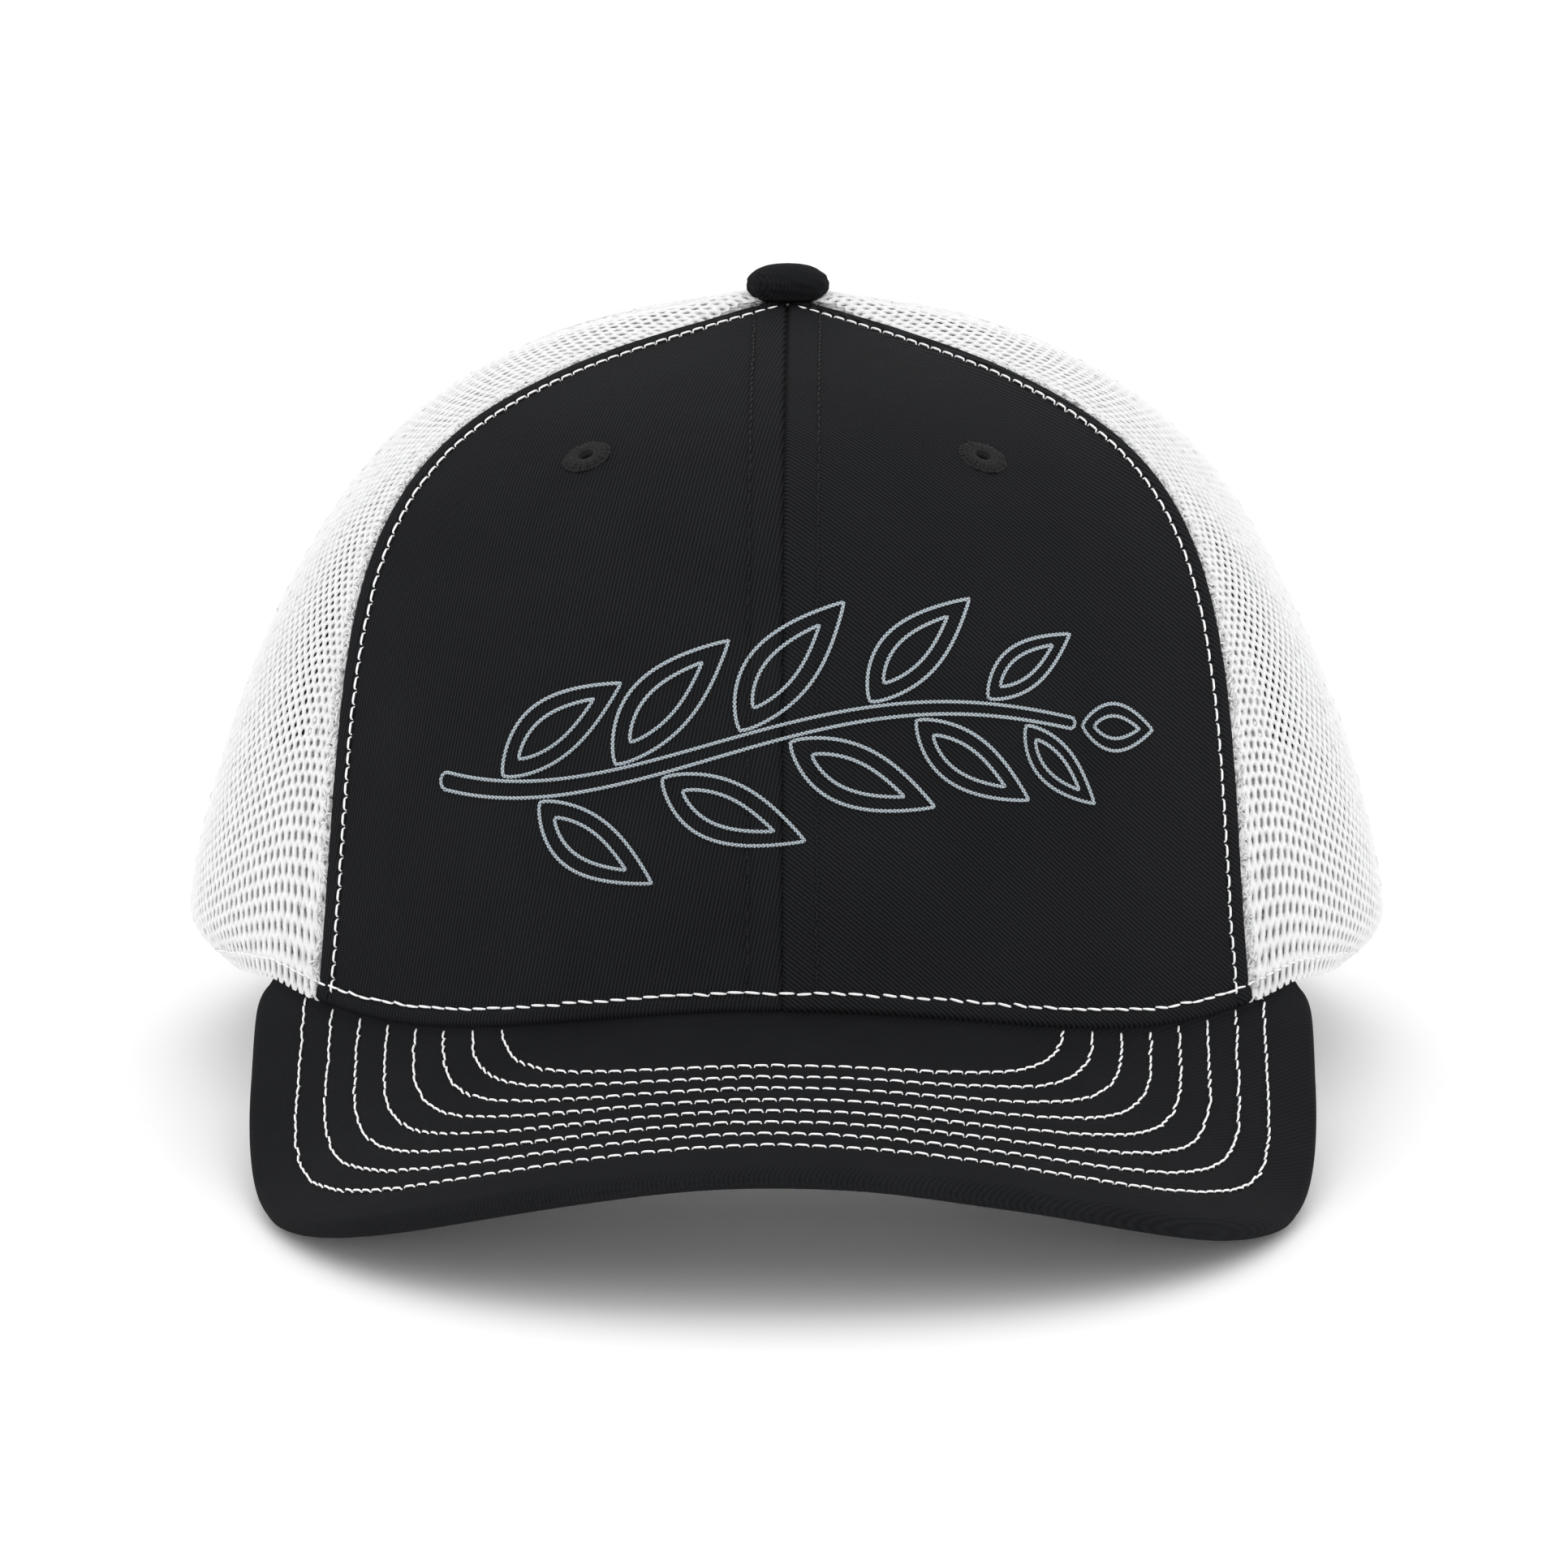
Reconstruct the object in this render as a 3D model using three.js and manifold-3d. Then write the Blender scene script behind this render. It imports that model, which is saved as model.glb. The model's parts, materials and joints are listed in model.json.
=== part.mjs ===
// A six-panel trucker cap, in millimetres: +Z is up, the visor points along -Y and +X is to the right.
// The cap is modelled square in the crown's own frame, whose z = 0 plane holds the rim of the head opening.
// At the end the whole cap is tipped back until it stands on its visor corners and its rear rim, as when set down.
import * as THREE from "three";
import Module from "manifold-3d";
import { mergeVertices } from "three/addons/utils/BufferGeometryUtils.js";

const wasm = await Module();
wasm.setup();

const { abs, acos, asin, cos, hypot, max, min, PI, sign, sin, sqrt, tan } = Math;
const rad = THREE.MathUtils.degToRad;

// ---- driving dimensions -------------------------------------------------------------------------
const HALF_WIDTH = 93; // rim of the crown, at the ears
const FRONT_LENGTH = 100; // rim of the crown, centre to forehead
const BACK_LENGTH = 97; // rim of the crown, centre to nape
const CROWN_HEIGHT = 105; // rim plane to the point where the panels meet
const GAP = 0.3; // clear space left between two pieces that touch

// A meridian runs from the rim (1, 0) to the apex (0, 1): share of the rim's radius, share of the height.
// Each is a Bezier curve. The stiffened front stands up boxy, the sides bell out, and the back is full.
const FRONT_MERIDIAN = [[1, 0], [0.94, 0.375], [0.92, 0.78], [0.76, 0.84], [0, 1]];
const SIDE_MERIDIAN = [[1, 0], [1.12, 0.02], [0.84, 0.65], [0.82, 0.98], [0, 1]];
const BACK_MERIDIAN = [[1, 0], [1, 0.38], [1, 0.92], [0.6, 1.04], [0, 1]];
const BINOMIAL = [1, 4, 6, 4, 1];
const FRONT_ENDS = rad(50); // the boxy front shape holds as far as this angle from the nose
const SIDE_AT = rad(90); // the side shape is whole here
const BACK_AT = rad(160); // the back shape is whole here
const TUCK_HEIGHT = 9; // the mesh is drawn in below this height
const SIDE_TUCK = 0.05; // by this share of its radius at the sides
const BACK_TUCK = 0.015; // and by this share at the back

const SEAM_TOP = 0.99; // the panels stop this far along their meridians, round the button's shank
const FRONT_SEAM = rad(48.5); // front to side seam, at the rim
const FRONT_SEAM_SWING = rad(11); // how much further round that seam is at the top
const REAR_SEAM = rad(114.5);
const REAR_SEAM_SWING = rad(5.5);
const BACK_SEAM = PI;

const TWILL = 0.8;
const BUCKRAM = 0.8;
const MESH = 1.0;
const TAPE = 0.6;
const TAPE_GAP = 0.45; // clear space between a tape and the panels it lies on
const TAPE_HALF_WIDTH = 6;
const TAPE_HALF_ANGLE = rad(27); // the tapes taper to wedges where six of them meet
const BAND_THICKNESS = 1.8;
const BAND_DEPTH = 3.8; // from the rim's outer face to the sweatband's outer face
const BAND_HEIGHT = 31;
const BAND_LOW = 0.4;

const VISOR_LENGTH = 62; // from the forehead rim to the front edge, measured level
const VISOR_HALF_WIDTH = 82.2;
const VISOR_REAR_HALF_WIDTH = 82.4; // where the visor's sides come back to the crown
const VISOR_SHOULDER = 2.2; // how far in the visor's rear corners are rounded
const VISOR_SLOPE = tan(rad(14.6)); // fall of the visor's centre line
const VISOR_REAR_BEND = 0.0037; // curvature across the visor beside the crown, in 1/mm
const VISOR_FRONT_BEND = 0.0084; // and at its front edge
const VISOR_BEND_FROM = 48; // the bend grows from this far ahead of the crown's centre
const VISOR_BEND_OVER = 66; // over this distance
const VISOR_CORNER_POWER = 2.4; // of the superellipse that rounds the front corners
const VISOR_CORNER_START = 73.8; // how far forward the sides stay straight
const VISOR_ENDS = rad(57); // the visor is sewn to the rim as far round as this
const VISOR_COVER = 0.6;
const VISOR_BOARD = 1.8;
const VISOR_TUCK = 0.8; // how far the visor reaches in under the crown's edge
const VISOR_DROP = 0.75; // its cover lies this far under the surface that the rim follows
const BOARD_INSET = 0.035; // share of the visor's depth that the board stops short of its edge
const RIM_RECOVERY = rad(40); // the rim comes back to its plane over this angle past the visor

const ARCH_HALF_WIDTH = 39;
const ARCH_SIDE = 14; // height of the arch's straight sides
const ARCH_RISE = 34; // height of its half-ellipse above them
const BINDING_WIDTH = 7;
const BINDING_OUT = 0.5; // the binding stands this proud of the mesh, and reaches 1.5 inside it
const BINDING_IN = 1.5;

const STRAP_THICKNESS = 1.3;
const STRAP_LOW = 1.2;
const STRAP_HEIGHT = 19;
const STRAP_DEPTH_INNER = 2.6; // outer face of the strap that carries the pegs
const STRAP_DEPTH_OUTER = STRAP_DEPTH_INNER - STRAP_THICKNESS - GAP; // outer face of the strap with holes
const STRAP_HINGE = 38; // arc from the back centre to where each strap leaves the crown
const HINGE_GAP = 0.5; // each side of that line
const STRAP_REACH = 60; // arc from that hinge line to the strap's tip
const STRAP_ROOT = 12; // length sewn in behind the binding
const SNAP_FIRST = 6; // arc from the hinge line to the first hole or peg
const SNAP_PITCH = 8;
const SNAP_COUNT = 7;
const HOLE_RADIUS = 2.6;
const PEG_RADIUS = 1.65;
const PEG_HEIGHT = 2.3;

const EYELET_RADIUS = 4;
const EYELET_HOLE = 1;
const EYELET_ANGLE = rad(26.5);
const EYELET_ALONG = 0.655; // share of the way up the meridian

const BUTTON_RADIUS = 6.5;
const BUTTON_HEIGHT = 5.6;
const BUTTON_NECK = 4.4;
const BUTTON_LIFT = 0.9; // underside above the apex
const SHANK_RADIUS = 1.4;
const WASHER_RADIUS = 7;
const WASHER_DROP = 5.3; // its top face below the apex

// ---- materials ----------------------------------------------------------------------------------
const cloth = (color, roughness) => new THREE.MeshStandardMaterial({ color, roughness, metalness: 0 });
const blackTwill = cloth(0x1b1c1e, 0.9);
const whiteMesh = cloth(0xeff0f2, 0.75);
const whiteBacking = cloth(0xe4e4e0, 0.95);
const whiteBand = cloth(0xf0efec, 0.9);
const blackTape = cloth(0x202124, 0.9);
const whitePlastic = cloth(0xf2f2f0, 0.35);
const boardPlastic = cloth(0x303236, 0.6);
const zinc = new THREE.MeshStandardMaterial({ color: 0xb4b6b8, roughness: 0.4, metalness: 0.9 });

// ---- closed shells ------------------------------------------------------------------------------
// A sheet of nu by nv cells between two faces: at(u, v, face) gives a point, with face 0 outside and 1 inside.
function sheet(nu, nv, at) {
  const points = [];
  const triangles = [];
  const index = (i, j, face) => (face * (nv + 1) + j) * (nu + 1) + i;
  const quad = (a, b, c, d) => triangles.push(a, b, c, a, c, d);
  for (const face of [0, 1]) {
    for (let j = 0; j <= nv; j++) {
      for (let i = 0; i <= nu; i++) points.push(at(i / nu, j / nv, face));
    }
  }
  for (let j = 0; j < nv; j++) {
    for (let i = 0; i < nu; i++) {
      quad(index(i, j, 0), index(i + 1, j, 0), index(i + 1, j + 1, 0), index(i, j + 1, 0));
      quad(index(i, j, 1), index(i, j + 1, 1), index(i + 1, j + 1, 1), index(i + 1, j, 1));
    }
  }
  for (let i = 0; i < nu; i++) {
    quad(index(i, 0, 0), index(i, 0, 1), index(i + 1, 0, 1), index(i + 1, 0, 0));
    quad(index(i, nv, 0), index(i + 1, nv, 0), index(i + 1, nv, 1), index(i, nv, 1));
  }
  for (let j = 0; j < nv; j++) {
    quad(index(0, j, 0), index(0, j + 1, 0), index(0, j + 1, 1), index(0, j, 1));
    quad(index(nu, j, 0), index(nu, j, 1), index(nu, j + 1, 1), index(nu, j + 1, 0));
  }
  const geometry = new THREE.BufferGeometry().setFromPoints(points);
  geometry.setIndex(enclosed(points, triangles) < 0 ? triangles.reverse() : triangles);
  geometry.computeVertexNormals();
  return geometry;
}

// Six times the volume inside the triangles: negative if they face inwards.
function enclosed(points, triangles) {
  let total = 0;
  const cross = new THREE.Vector3();
  for (let i = 0; i < triangles.length; i += 3) {
    const [a, b, c] = [0, 1, 2].map((k) => points[triangles[i + k]]);
    total += a.dot(cross.crossVectors(b, c));
  }
  return total;
}

// ---- booleans -----------------------------------------------------------------------------------
function solid(geometry) {
  const bare = geometry.clone();
  bare.deleteAttribute("normal");
  bare.deleteAttribute("uv");
  const merged = mergeVertices(bare, 1e-4);
  return new wasm.Manifold(
    new wasm.Mesh({
      numProp: 3,
      vertProperties: merged.attributes.position.array,
      triVerts: new Uint32Array(merged.index.array),
    }),
  );
}

function geometryOf(manifold) {
  const mesh = manifold.getMesh();
  const geometry = new THREE.BufferGeometry();
  geometry.setAttribute("position", new THREE.BufferAttribute(mesh.vertProperties, 3));
  geometry.setIndex(new THREE.BufferAttribute(mesh.triVerts, 1));
  geometry.computeVertexNormals();
  return geometry;
}

const cut = (geometry, tools) => geometryOf(tools.reduce((body, tool) => body.subtract(solid(tool)), solid(geometry)));
const join = (geometry, others) => geometryOf(others.reduce((body, other) => body.add(solid(other)), solid(geometry)));

// ---- the crown's surface ------------------------------------------------------------------------
const smooth = (x) => {
  const s = min(max(x, 0), 1);
  return s * s * (3 - 2 * s);
};

function rimRadius(theta) {
  const length = cos(theta) > 0 ? FRONT_LENGTH : BACK_LENGTH;
  return 1 / hypot(sin(theta) / HALF_WIDTH, cos(theta) / length);
}

// Height of the visor's upper surface at x, and at a distance ahead of the crown's centre.
function visorHeight(x, ahead) {
  const forward = smooth((ahead - VISOR_BEND_FROM) / VISOR_BEND_OVER);
  const bend = THREE.MathUtils.lerp(VISOR_REAR_BEND, VISOR_FRONT_BEND, forward);
  return (FRONT_LENGTH - ahead) * VISOR_SLOPE - (bend * x * x) / 2;
}

// The rim follows the visor as far as the visor goes, and comes back to its plane behind it.
function rimHeight(theta) {
  const turn = min(abs(theta), VISOR_ENDS);
  const radius = rimRadius(turn);
  const along = visorHeight(radius * sin(turn), radius * cos(turn));
  return along * (1 - smooth((abs(theta) - VISOR_ENDS) / RIM_RECOVERY));
}

// How much of the front, side and back meridians a direction takes.
function shares(theta) {
  const turn = abs(theta);
  const pastFront = smooth((turn - FRONT_ENDS) / (SIDE_AT - FRONT_ENDS));
  const pastSide = smooth((turn - SIDE_AT) / (BACK_AT - SIDE_AT));
  return [1 - pastFront, pastFront * (1 - pastSide), pastFront * pastSide];
}

function meridian(curve, t, k) {
  return curve.reduce((sum, point, i) => sum + BINOMIAL[i] * (1 - t) ** (4 - i) * t ** i * point[k], 0);
}

// The outer face at an angle theta from the nose, positive to the right, and a share t of the way up.
function outerPoint(theta, t) {
  const curves = [FRONT_MERIDIAN, SIDE_MERIDIAN, BACK_MERIDIAN];
  const weights = shares(theta);
  const [out, up] = [0, 1].map((k) => curves.reduce((sum, c, i) => sum + weights[i] * meridian(c, t, k), 0));
  const z = CROWN_HEIGHT * up + rimHeight(theta) * (1 - up);
  const tucked = max(1 - max(z, 0) / TUCK_HEIGHT, 0) ** 2;
  const radius = rimRadius(theta) * out * (1 - (SIDE_TUCK * weights[1] + BACK_TUCK * weights[2]) * tucked);
  return new THREE.Vector3(radius * sin(theta), -radius * cos(theta), z);
}

const STEP = 1e-3;
function outwardNormal(theta, t) {
  const round = outerPoint(theta + STEP, t).sub(outerPoint(theta - STEP, t));
  const up = outerPoint(theta, min(t + STEP, 1)).sub(outerPoint(theta, max(t - STEP, 0)));
  return round.cross(up).normalize();
}

// A point of the crown, a depth inside its outer face.
const crownPoint = (theta, t, depth) => outerPoint(theta, t).addScaledVector(outwardNormal(theta, t), -depth);
const spread = (theta, t) => hypot(...outerPoint(theta, t).toArray().slice(0, 2));

// The share of the meridian at a height, found by halving.
function shareAtHeight(theta, z) {
  let [low, high] = [0, 0.9];
  for (let i = 0; i < 30; i++) {
    const middle = (low + high) / 2;
    if (outerPoint(theta, middle).z < z) low = middle;
    else high = middle;
  }
  return low;
}

const frontSeam = (t) => FRONT_SEAM + FRONT_SEAM_SWING * t ** 1.5;
const rearSeam = (t) => REAR_SEAM + REAR_SEAM_SWING * t ** 1.5;
const centreSeam = () => 0;
const backSeam = () => BACK_SEAM;

// A gore between two seams, both given for the right-hand side, from the rim to the top.
const PANEL_ROWS = 14; // cells up each panel
function gore(side, from, to, outerDepth, thickness, columns) {
  return sheet(columns, PANEL_ROWS, (u, v, face) => {
    const t = v * SEAM_TOP;
    const inset = GAP / 2 / spread(from(t), t);
    const theta = THREE.MathUtils.lerp(from(t) + inset, to(t) - inset, u);
    return crownPoint(side * theta, t, outerDepth + face * thickness);
  });
}

// ---- pieces of the crown ------------------------------------------------------------------------
const cap = new THREE.Group();
const crown = new THREE.Group();
cap.add(crown);

function place(name, geometry, material) {
  const mesh = new THREE.Mesh(geometry, material);
  mesh.name = name;
  crown.add(mesh);
  return mesh;
}

const sides = [["left", -1], ["right", 1]];

// A round tool or ring stood on the crown with its axis along the surface's normal.
function standOnCrown(geometry, theta, t) {
  const turn = new THREE.Quaternion().setFromUnitVectors(new THREE.Vector3(0, 1, 0), outwardNormal(theta, t));
  const at = outerPoint(theta, t);
  return geometry.applyMatrix4(new THREE.Matrix4().compose(at, turn, new THREE.Vector3(1, 1, 1)));
}

const punch = (radius) => new THREE.CylinderGeometry(radius, radius, 12, 16);

function frontPanels() {
  for (const [name, side] of sides) {
    const theta = side * EYELET_ANGLE;
    const outer = gore(side, centreSeam, frontSeam, 0, TWILL, 8);
    const backing = gore(side, centreSeam, frontSeam, TWILL + GAP, BUCKRAM, 8);
    const wide = standOnCrown(punch(EYELET_RADIUS + GAP), theta, EYELET_ALONG);
    const narrow = standOnCrown(punch(EYELET_HOLE + GAP), theta, EYELET_ALONG);
    place("front_panel_" + name, cut(outer, [wide]), blackTwill);
    place("buckram_" + name, cut(backing, [narrow]), whiteBacking);
  }
}

// A worked eyelet: a ring of thread with a rounded section and a small hole.
function eyelets() {
  const [low, high] = [-TWILL, 0.35];
  const section = new THREE.Shape();
  section.moveTo(EYELET_HOLE, low);
  section.lineTo(EYELET_RADIUS, low);
  section.lineTo(EYELET_RADIUS, 0);
  section.quadraticCurveTo((EYELET_RADIUS + EYELET_HOLE) / 2, 2 * high, EYELET_HOLE, 0);
  section.closePath();
  for (const [name, side] of sides) {
    const outline = section.getPoints(3).filter((p, i, all) => i === 0 || p.distanceTo(all[i - 1]) > 0.01);
    if (outline[0].distanceTo(outline.at(-1)) > 0.01) outline.push(outline[0].clone());
    const ring = new THREE.LatheGeometry(outline, 18);
    place("eyelet_" + name, standOnCrown(ring, side * EYELET_ANGLE, EYELET_ALONG), blackTwill);
  }
}

// The rear arch as an outline in x and height, at a distance outside its edge: along runs from -1 to 1.
const ARCH_STRAIGHT = 0.22; // share of the outline, at each end, that is straight
function archOutline(along, outside) {
  const [halfWidth, rise] = [ARCH_HALF_WIDTH + outside, ARCH_RISE + outside];
  if (abs(along) > 1 - ARCH_STRAIGHT) {
    const height = (ARCH_SIDE * (1 - abs(along))) / ARCH_STRAIGHT;
    return [sign(along) * halfWidth, height];
  }
  const angle = (along / (1 - ARCH_STRAIGHT)) * (PI / 2);
  return [halfWidth * sin(angle), ARCH_SIDE + rise * cos(angle)];
}

// The angle and the share of the meridian where the back wall has this x and this height.
function onBackWall(x, z) {
  let [theta, t] = [PI - asin(x / BACK_LENGTH), 0];
  for (let i = 0; i < 12; i++) {
    t = shareAtHeight(theta, z);
    theta = PI - asin(x / spread(theta, t));
  }
  return [theta, t];
}

function archCutter() {
  const shape = new THREE.Shape();
  const outside = BINDING_WIDTH + GAP;
  shape.moveTo(-ARCH_HALF_WIDTH - outside, -20);
  shape.lineTo(ARCH_HALF_WIDTH + outside, -20);
  shape.lineTo(ARCH_HALF_WIDTH + outside, ARCH_SIDE);
  shape.absellipse(0, ARCH_SIDE, ARCH_HALF_WIDTH + outside, ARCH_RISE + outside, 0, PI, false);
  shape.closePath();
  const prism = new THREE.ExtrudeGeometry(shape, { depth: 90, bevelEnabled: false, curveSegments: 12 });
  return prism.rotateX(PI / 2).translate(0, 130, 0);
}

function meshPanels() {
  for (const [name, side] of sides) {
    place("side_mesh_" + name, gore(side, frontSeam, rearSeam, 0, MESH, 12), whiteMesh);
    const back = gore(side, rearSeam, backSeam, 0, MESH, 12);
    place("back_mesh_" + name, cut(back, [archCutter()]), whiteMesh);
  }
}

function archBinding() {
  const binding = sheet(30, 1, (u, v, face) => {
    const [x, z] = archOutline(2 * u - 1, v * BINDING_WIDTH);
    const [theta, t] = onBackWall(x, z);
    return crownPoint(theta, t, face ? BINDING_IN : -BINDING_OUT);
  });
  place("arch_binding", binding, whiteBand);
}

// Tape over a seam inside the crown: a strip of even width that tapers to a wedge at the top.
// It starts level with one of the panels' rows of cells.
function seamTape(name, side, seam, row, depth) {
  const tape = sheet(2, PANEL_ROWS - row, (u, v, face) => {
    const t = THREE.MathUtils.lerp(row / PANEL_ROWS, 1, v) * SEAM_TOP;
    const half = min(TAPE_HALF_WIDTH / spread(seam(t), t), TAPE_HALF_ANGLE);
    return crownPoint(side * (seam(t) + (2 * u - 1) * half), t, depth + face * TAPE);
  });
  place("seam_tape_" + name, tape, blackTape);
}

function seamTapes() {
  const underFront = TWILL + GAP + BUCKRAM + TAPE_GAP;
  const underMesh = MESH + TAPE_GAP;
  seamTape("front", 1, centreSeam, 1, underFront);
  for (const [name, side] of sides) {
    seamTape("front_" + name, side, frontSeam, 1, underFront);
    seamTape("rear_" + name, side, rearSeam, 1, underMesh);
  }
  const overArch = shareAtHeight(PI, ARCH_SIDE + ARCH_RISE + BINDING_WIDTH + 1);
  seamTape("back", 1, backSeam, Math.ceil((overArch / SEAM_TOP) * PANEL_ROWS), underMesh);
}

// The sweatband follows the wall where the wall leans in, and hangs straight where the mesh bells out.
function bandPoint(theta, z, depth) {
  const wall = spread(theta, shareAtHeight(theta, max(z, rimHeight(theta))));
  const radius = min(wall, spread(theta, 0)) - depth;
  return new THREE.Vector3(radius * sin(theta), -radius * cos(theta), z);
}

function sweatband() {
  const reach = PI - asin((ARCH_HALF_WIDTH + 2) / BACK_LENGTH);
  const band = sheet(40, 3, (u, v, face) => {
    const theta = (2 * u - 1) * reach;
    return bandPoint(theta, BAND_LOW + v * BAND_HEIGHT, BAND_DEPTH + face * BAND_THICKNESS);
  });
  place("sweatband", band, whiteBand);
}

// A blank care label sewn inside the sweatband at the left rear.
function careLabel() {
  const [start, width] = [rad(-140), rad(14)];
  const label = sheet(4, 2, (u, v, face) =>
    bandPoint(start + u * width, 5 + v * 19, BAND_DEPTH + BAND_THICKNESS + GAP + face * 0.4),
  );
  place("care_label", label, whiteBand);
}

// The button: a cloth cover gathered over a pressed metal shell, whose shank is closed on a washer inside.
function topButton() {
  const base = CROWN_HEIGHT + BUTTON_LIFT;
  const dome = (radius, height, lift, count) =>
    Array.from({ length: count + 1 }, (_, i) => {
      const angle = (i / count) * (PI / 2);
      return new THREE.Vector2(radius * sin(angle), base + lift + height * cos(angle));
    });
  const belly = BUTTON_HEIGHT * 0.42; // height of the widest ring above the underside
  const inner = new THREE.Vector2(BUTTON_RADIUS - 0.9, base + belly);
  const cover = [
    ...dome(BUTTON_RADIUS, BUTTON_HEIGHT - belly, belly, 6),
    new THREE.Vector2(BUTTON_RADIUS - 0.5, base + belly * 0.45),
    new THREE.Vector2(BUTTON_NECK, base),
    new THREE.Vector2(BUTTON_NECK - 0.2, base + 0.7),
    inner,
    ...dome(inner.x, BUTTON_HEIGHT - belly - 0.8, belly, 4).reverse().slice(1),
  ];
  const shellTop = BUTTON_HEIGHT - belly - 0.8 - GAP;
  const shell = [
    ...dome(inner.x - GAP, shellTop, belly, 4),
    new THREE.Vector2(SHANK_RADIUS, base + belly),
    new THREE.Vector2(SHANK_RADIUS, CROWN_HEIGHT - WASHER_DROP + GAP),
    new THREE.Vector2(0, CROWN_HEIGHT - WASHER_DROP + GAP),
  ];
  const turned = (points) => new THREE.LatheGeometry([...points].reverse(), 24).rotateX(PI / 2);
  place("button_cover", turned(cover), blackTwill);
  place("button_shell", turned(shell), zinc);
  const washer = new THREE.CylinderGeometry(WASHER_RADIUS, WASHER_RADIUS, 0.8, 24).rotateX(PI / 2);
  place("button_washer", washer.translate(0, 0, CROWN_HEIGHT - WASHER_DROP - 0.4), zinc);
}

// ---- the visor ----------------------------------------------------------------------------------
// Outer edge: nearly straight sides, then a superellipse. along runs from -1 at the left end to 1 at the right end.
const SIDE_SHARE = 0.2; // share of the half outline that is the straight side
const visorEnd = rimRadius(VISOR_ENDS);
function visorEdge(along) {
  const [from, edge] = [abs(along), sign(along)];
  const back = visorEnd * cos(VISOR_ENDS);
  if (from > 1 - SIDE_SHARE) {
    const k = (from - (1 - SIDE_SHARE)) / SIDE_SHARE;
    const rounded = VISOR_SHOULDER * (1 - sqrt(1 - k ** 6));
    const x = THREE.MathUtils.lerp(VISOR_HALF_WIDTH, VISOR_REAR_HALF_WIDTH, k) - rounded;
    return [edge * x, THREE.MathUtils.lerp(VISOR_CORNER_START, back, k)];
  }
  const angle = (from / (1 - SIDE_SHARE)) * (PI / 2);
  const power = 2 / VISOR_CORNER_POWER;
  const ahead = FRONT_LENGTH + VISOR_LENGTH - VISOR_CORNER_START;
  return [edge * VISOR_HALF_WIDTH * sin(angle) ** power, VISOR_CORNER_START + ahead * cos(angle) ** power];
}

function visorPoint(along, out, depth) {
  const theta = along * VISOR_ENDS;
  const radius = rimRadius(theta) - VISOR_TUCK;
  const [edgeX, edgeAhead] = visorEdge(along);
  const x = THREE.MathUtils.lerp(radius * sin(theta), edgeX, out);
  const ahead = THREE.MathUtils.lerp(radius * cos(theta), edgeAhead, out);
  const rise = (dx, dy) => (visorHeight(x + dx, ahead + dy) - visorHeight(x - dx, ahead - dy)) / (2 * STEP);
  const normal = new THREE.Vector3(-rise(STEP, 0), rise(0, STEP), 1).normalize();
  return new THREE.Vector3(x, -ahead, visorHeight(x, ahead)).addScaledVector(normal, -depth);
}

function visor() {
  const layer = (depth, thickness, reach) =>
    sheet(32, 5, (u, v, face) => visorPoint((2 * u - 1) * reach, v * reach, depth + face * thickness));
  const boardDepth = VISOR_DROP + VISOR_COVER + GAP;
  const underDepth = boardDepth + VISOR_BOARD + GAP;
  place("visor_top_cover", layer(VISOR_DROP, VISOR_COVER, 1), blackTwill);
  place("visor_board", layer(boardDepth, VISOR_BOARD, 1 - BOARD_INSET), boardPlastic);
  place("visor_under_cover", layer(underDepth, VISOR_COVER, 1), blackTwill);
}

// ---- the snap closure ---------------------------------------------------------------------------
const STRAP_RIM = BACK_LENGTH * (1 - BACK_TUCK);
// The straps follow one arc about the crown's axis. arc runs from the back centre, positive to the right.
function strapPoint(arc, z, depth) {
  const theta = PI - arc / STRAP_RIM;
  const radius = STRAP_RIM - depth;
  return new THREE.Vector3(radius * sin(theta), -radius * cos(theta), z);
}

// A stretch of strap whose tip, at the arc "to", has rounded corners.
function strapBand(from, to, depth, tipRadius) {
  return sheet(14, 2, (u, v, face) => {
    const arc = THREE.MathUtils.lerp(from, to, u);
    const past = max(tipRadius - abs(to - arc), 0);
    const trim = tipRadius ? tipRadius - sqrt(tipRadius ** 2 - past ** 2) : 0;
    const z = STRAP_LOW + trim + v * (STRAP_HEIGHT - 2 * trim);
    return strapPoint(arc, z, depth + face * STRAP_THICKNESS);
  });
}

// A round tool or peg through the straps at an arc, between two depths.
function snapCylinder(arc, radius, outerDepth, innerDepth, segments) {
  const middle = strapPoint(arc, STRAP_LOW + STRAP_HEIGHT / 2, (outerDepth + innerDepth) / 2);
  const outward = new THREE.Vector3(middle.x, middle.y, 0).normalize();
  const turn = new THREE.Quaternion().setFromUnitVectors(new THREE.Vector3(0, 1, 0), outward);
  const cylinder = new THREE.CylinderGeometry(radius, radius, innerDepth - outerDepth, segments);
  return cylinder.applyMatrix4(new THREE.Matrix4().compose(middle, turn, new THREE.Vector3(1, 1, 1)));
}

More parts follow.
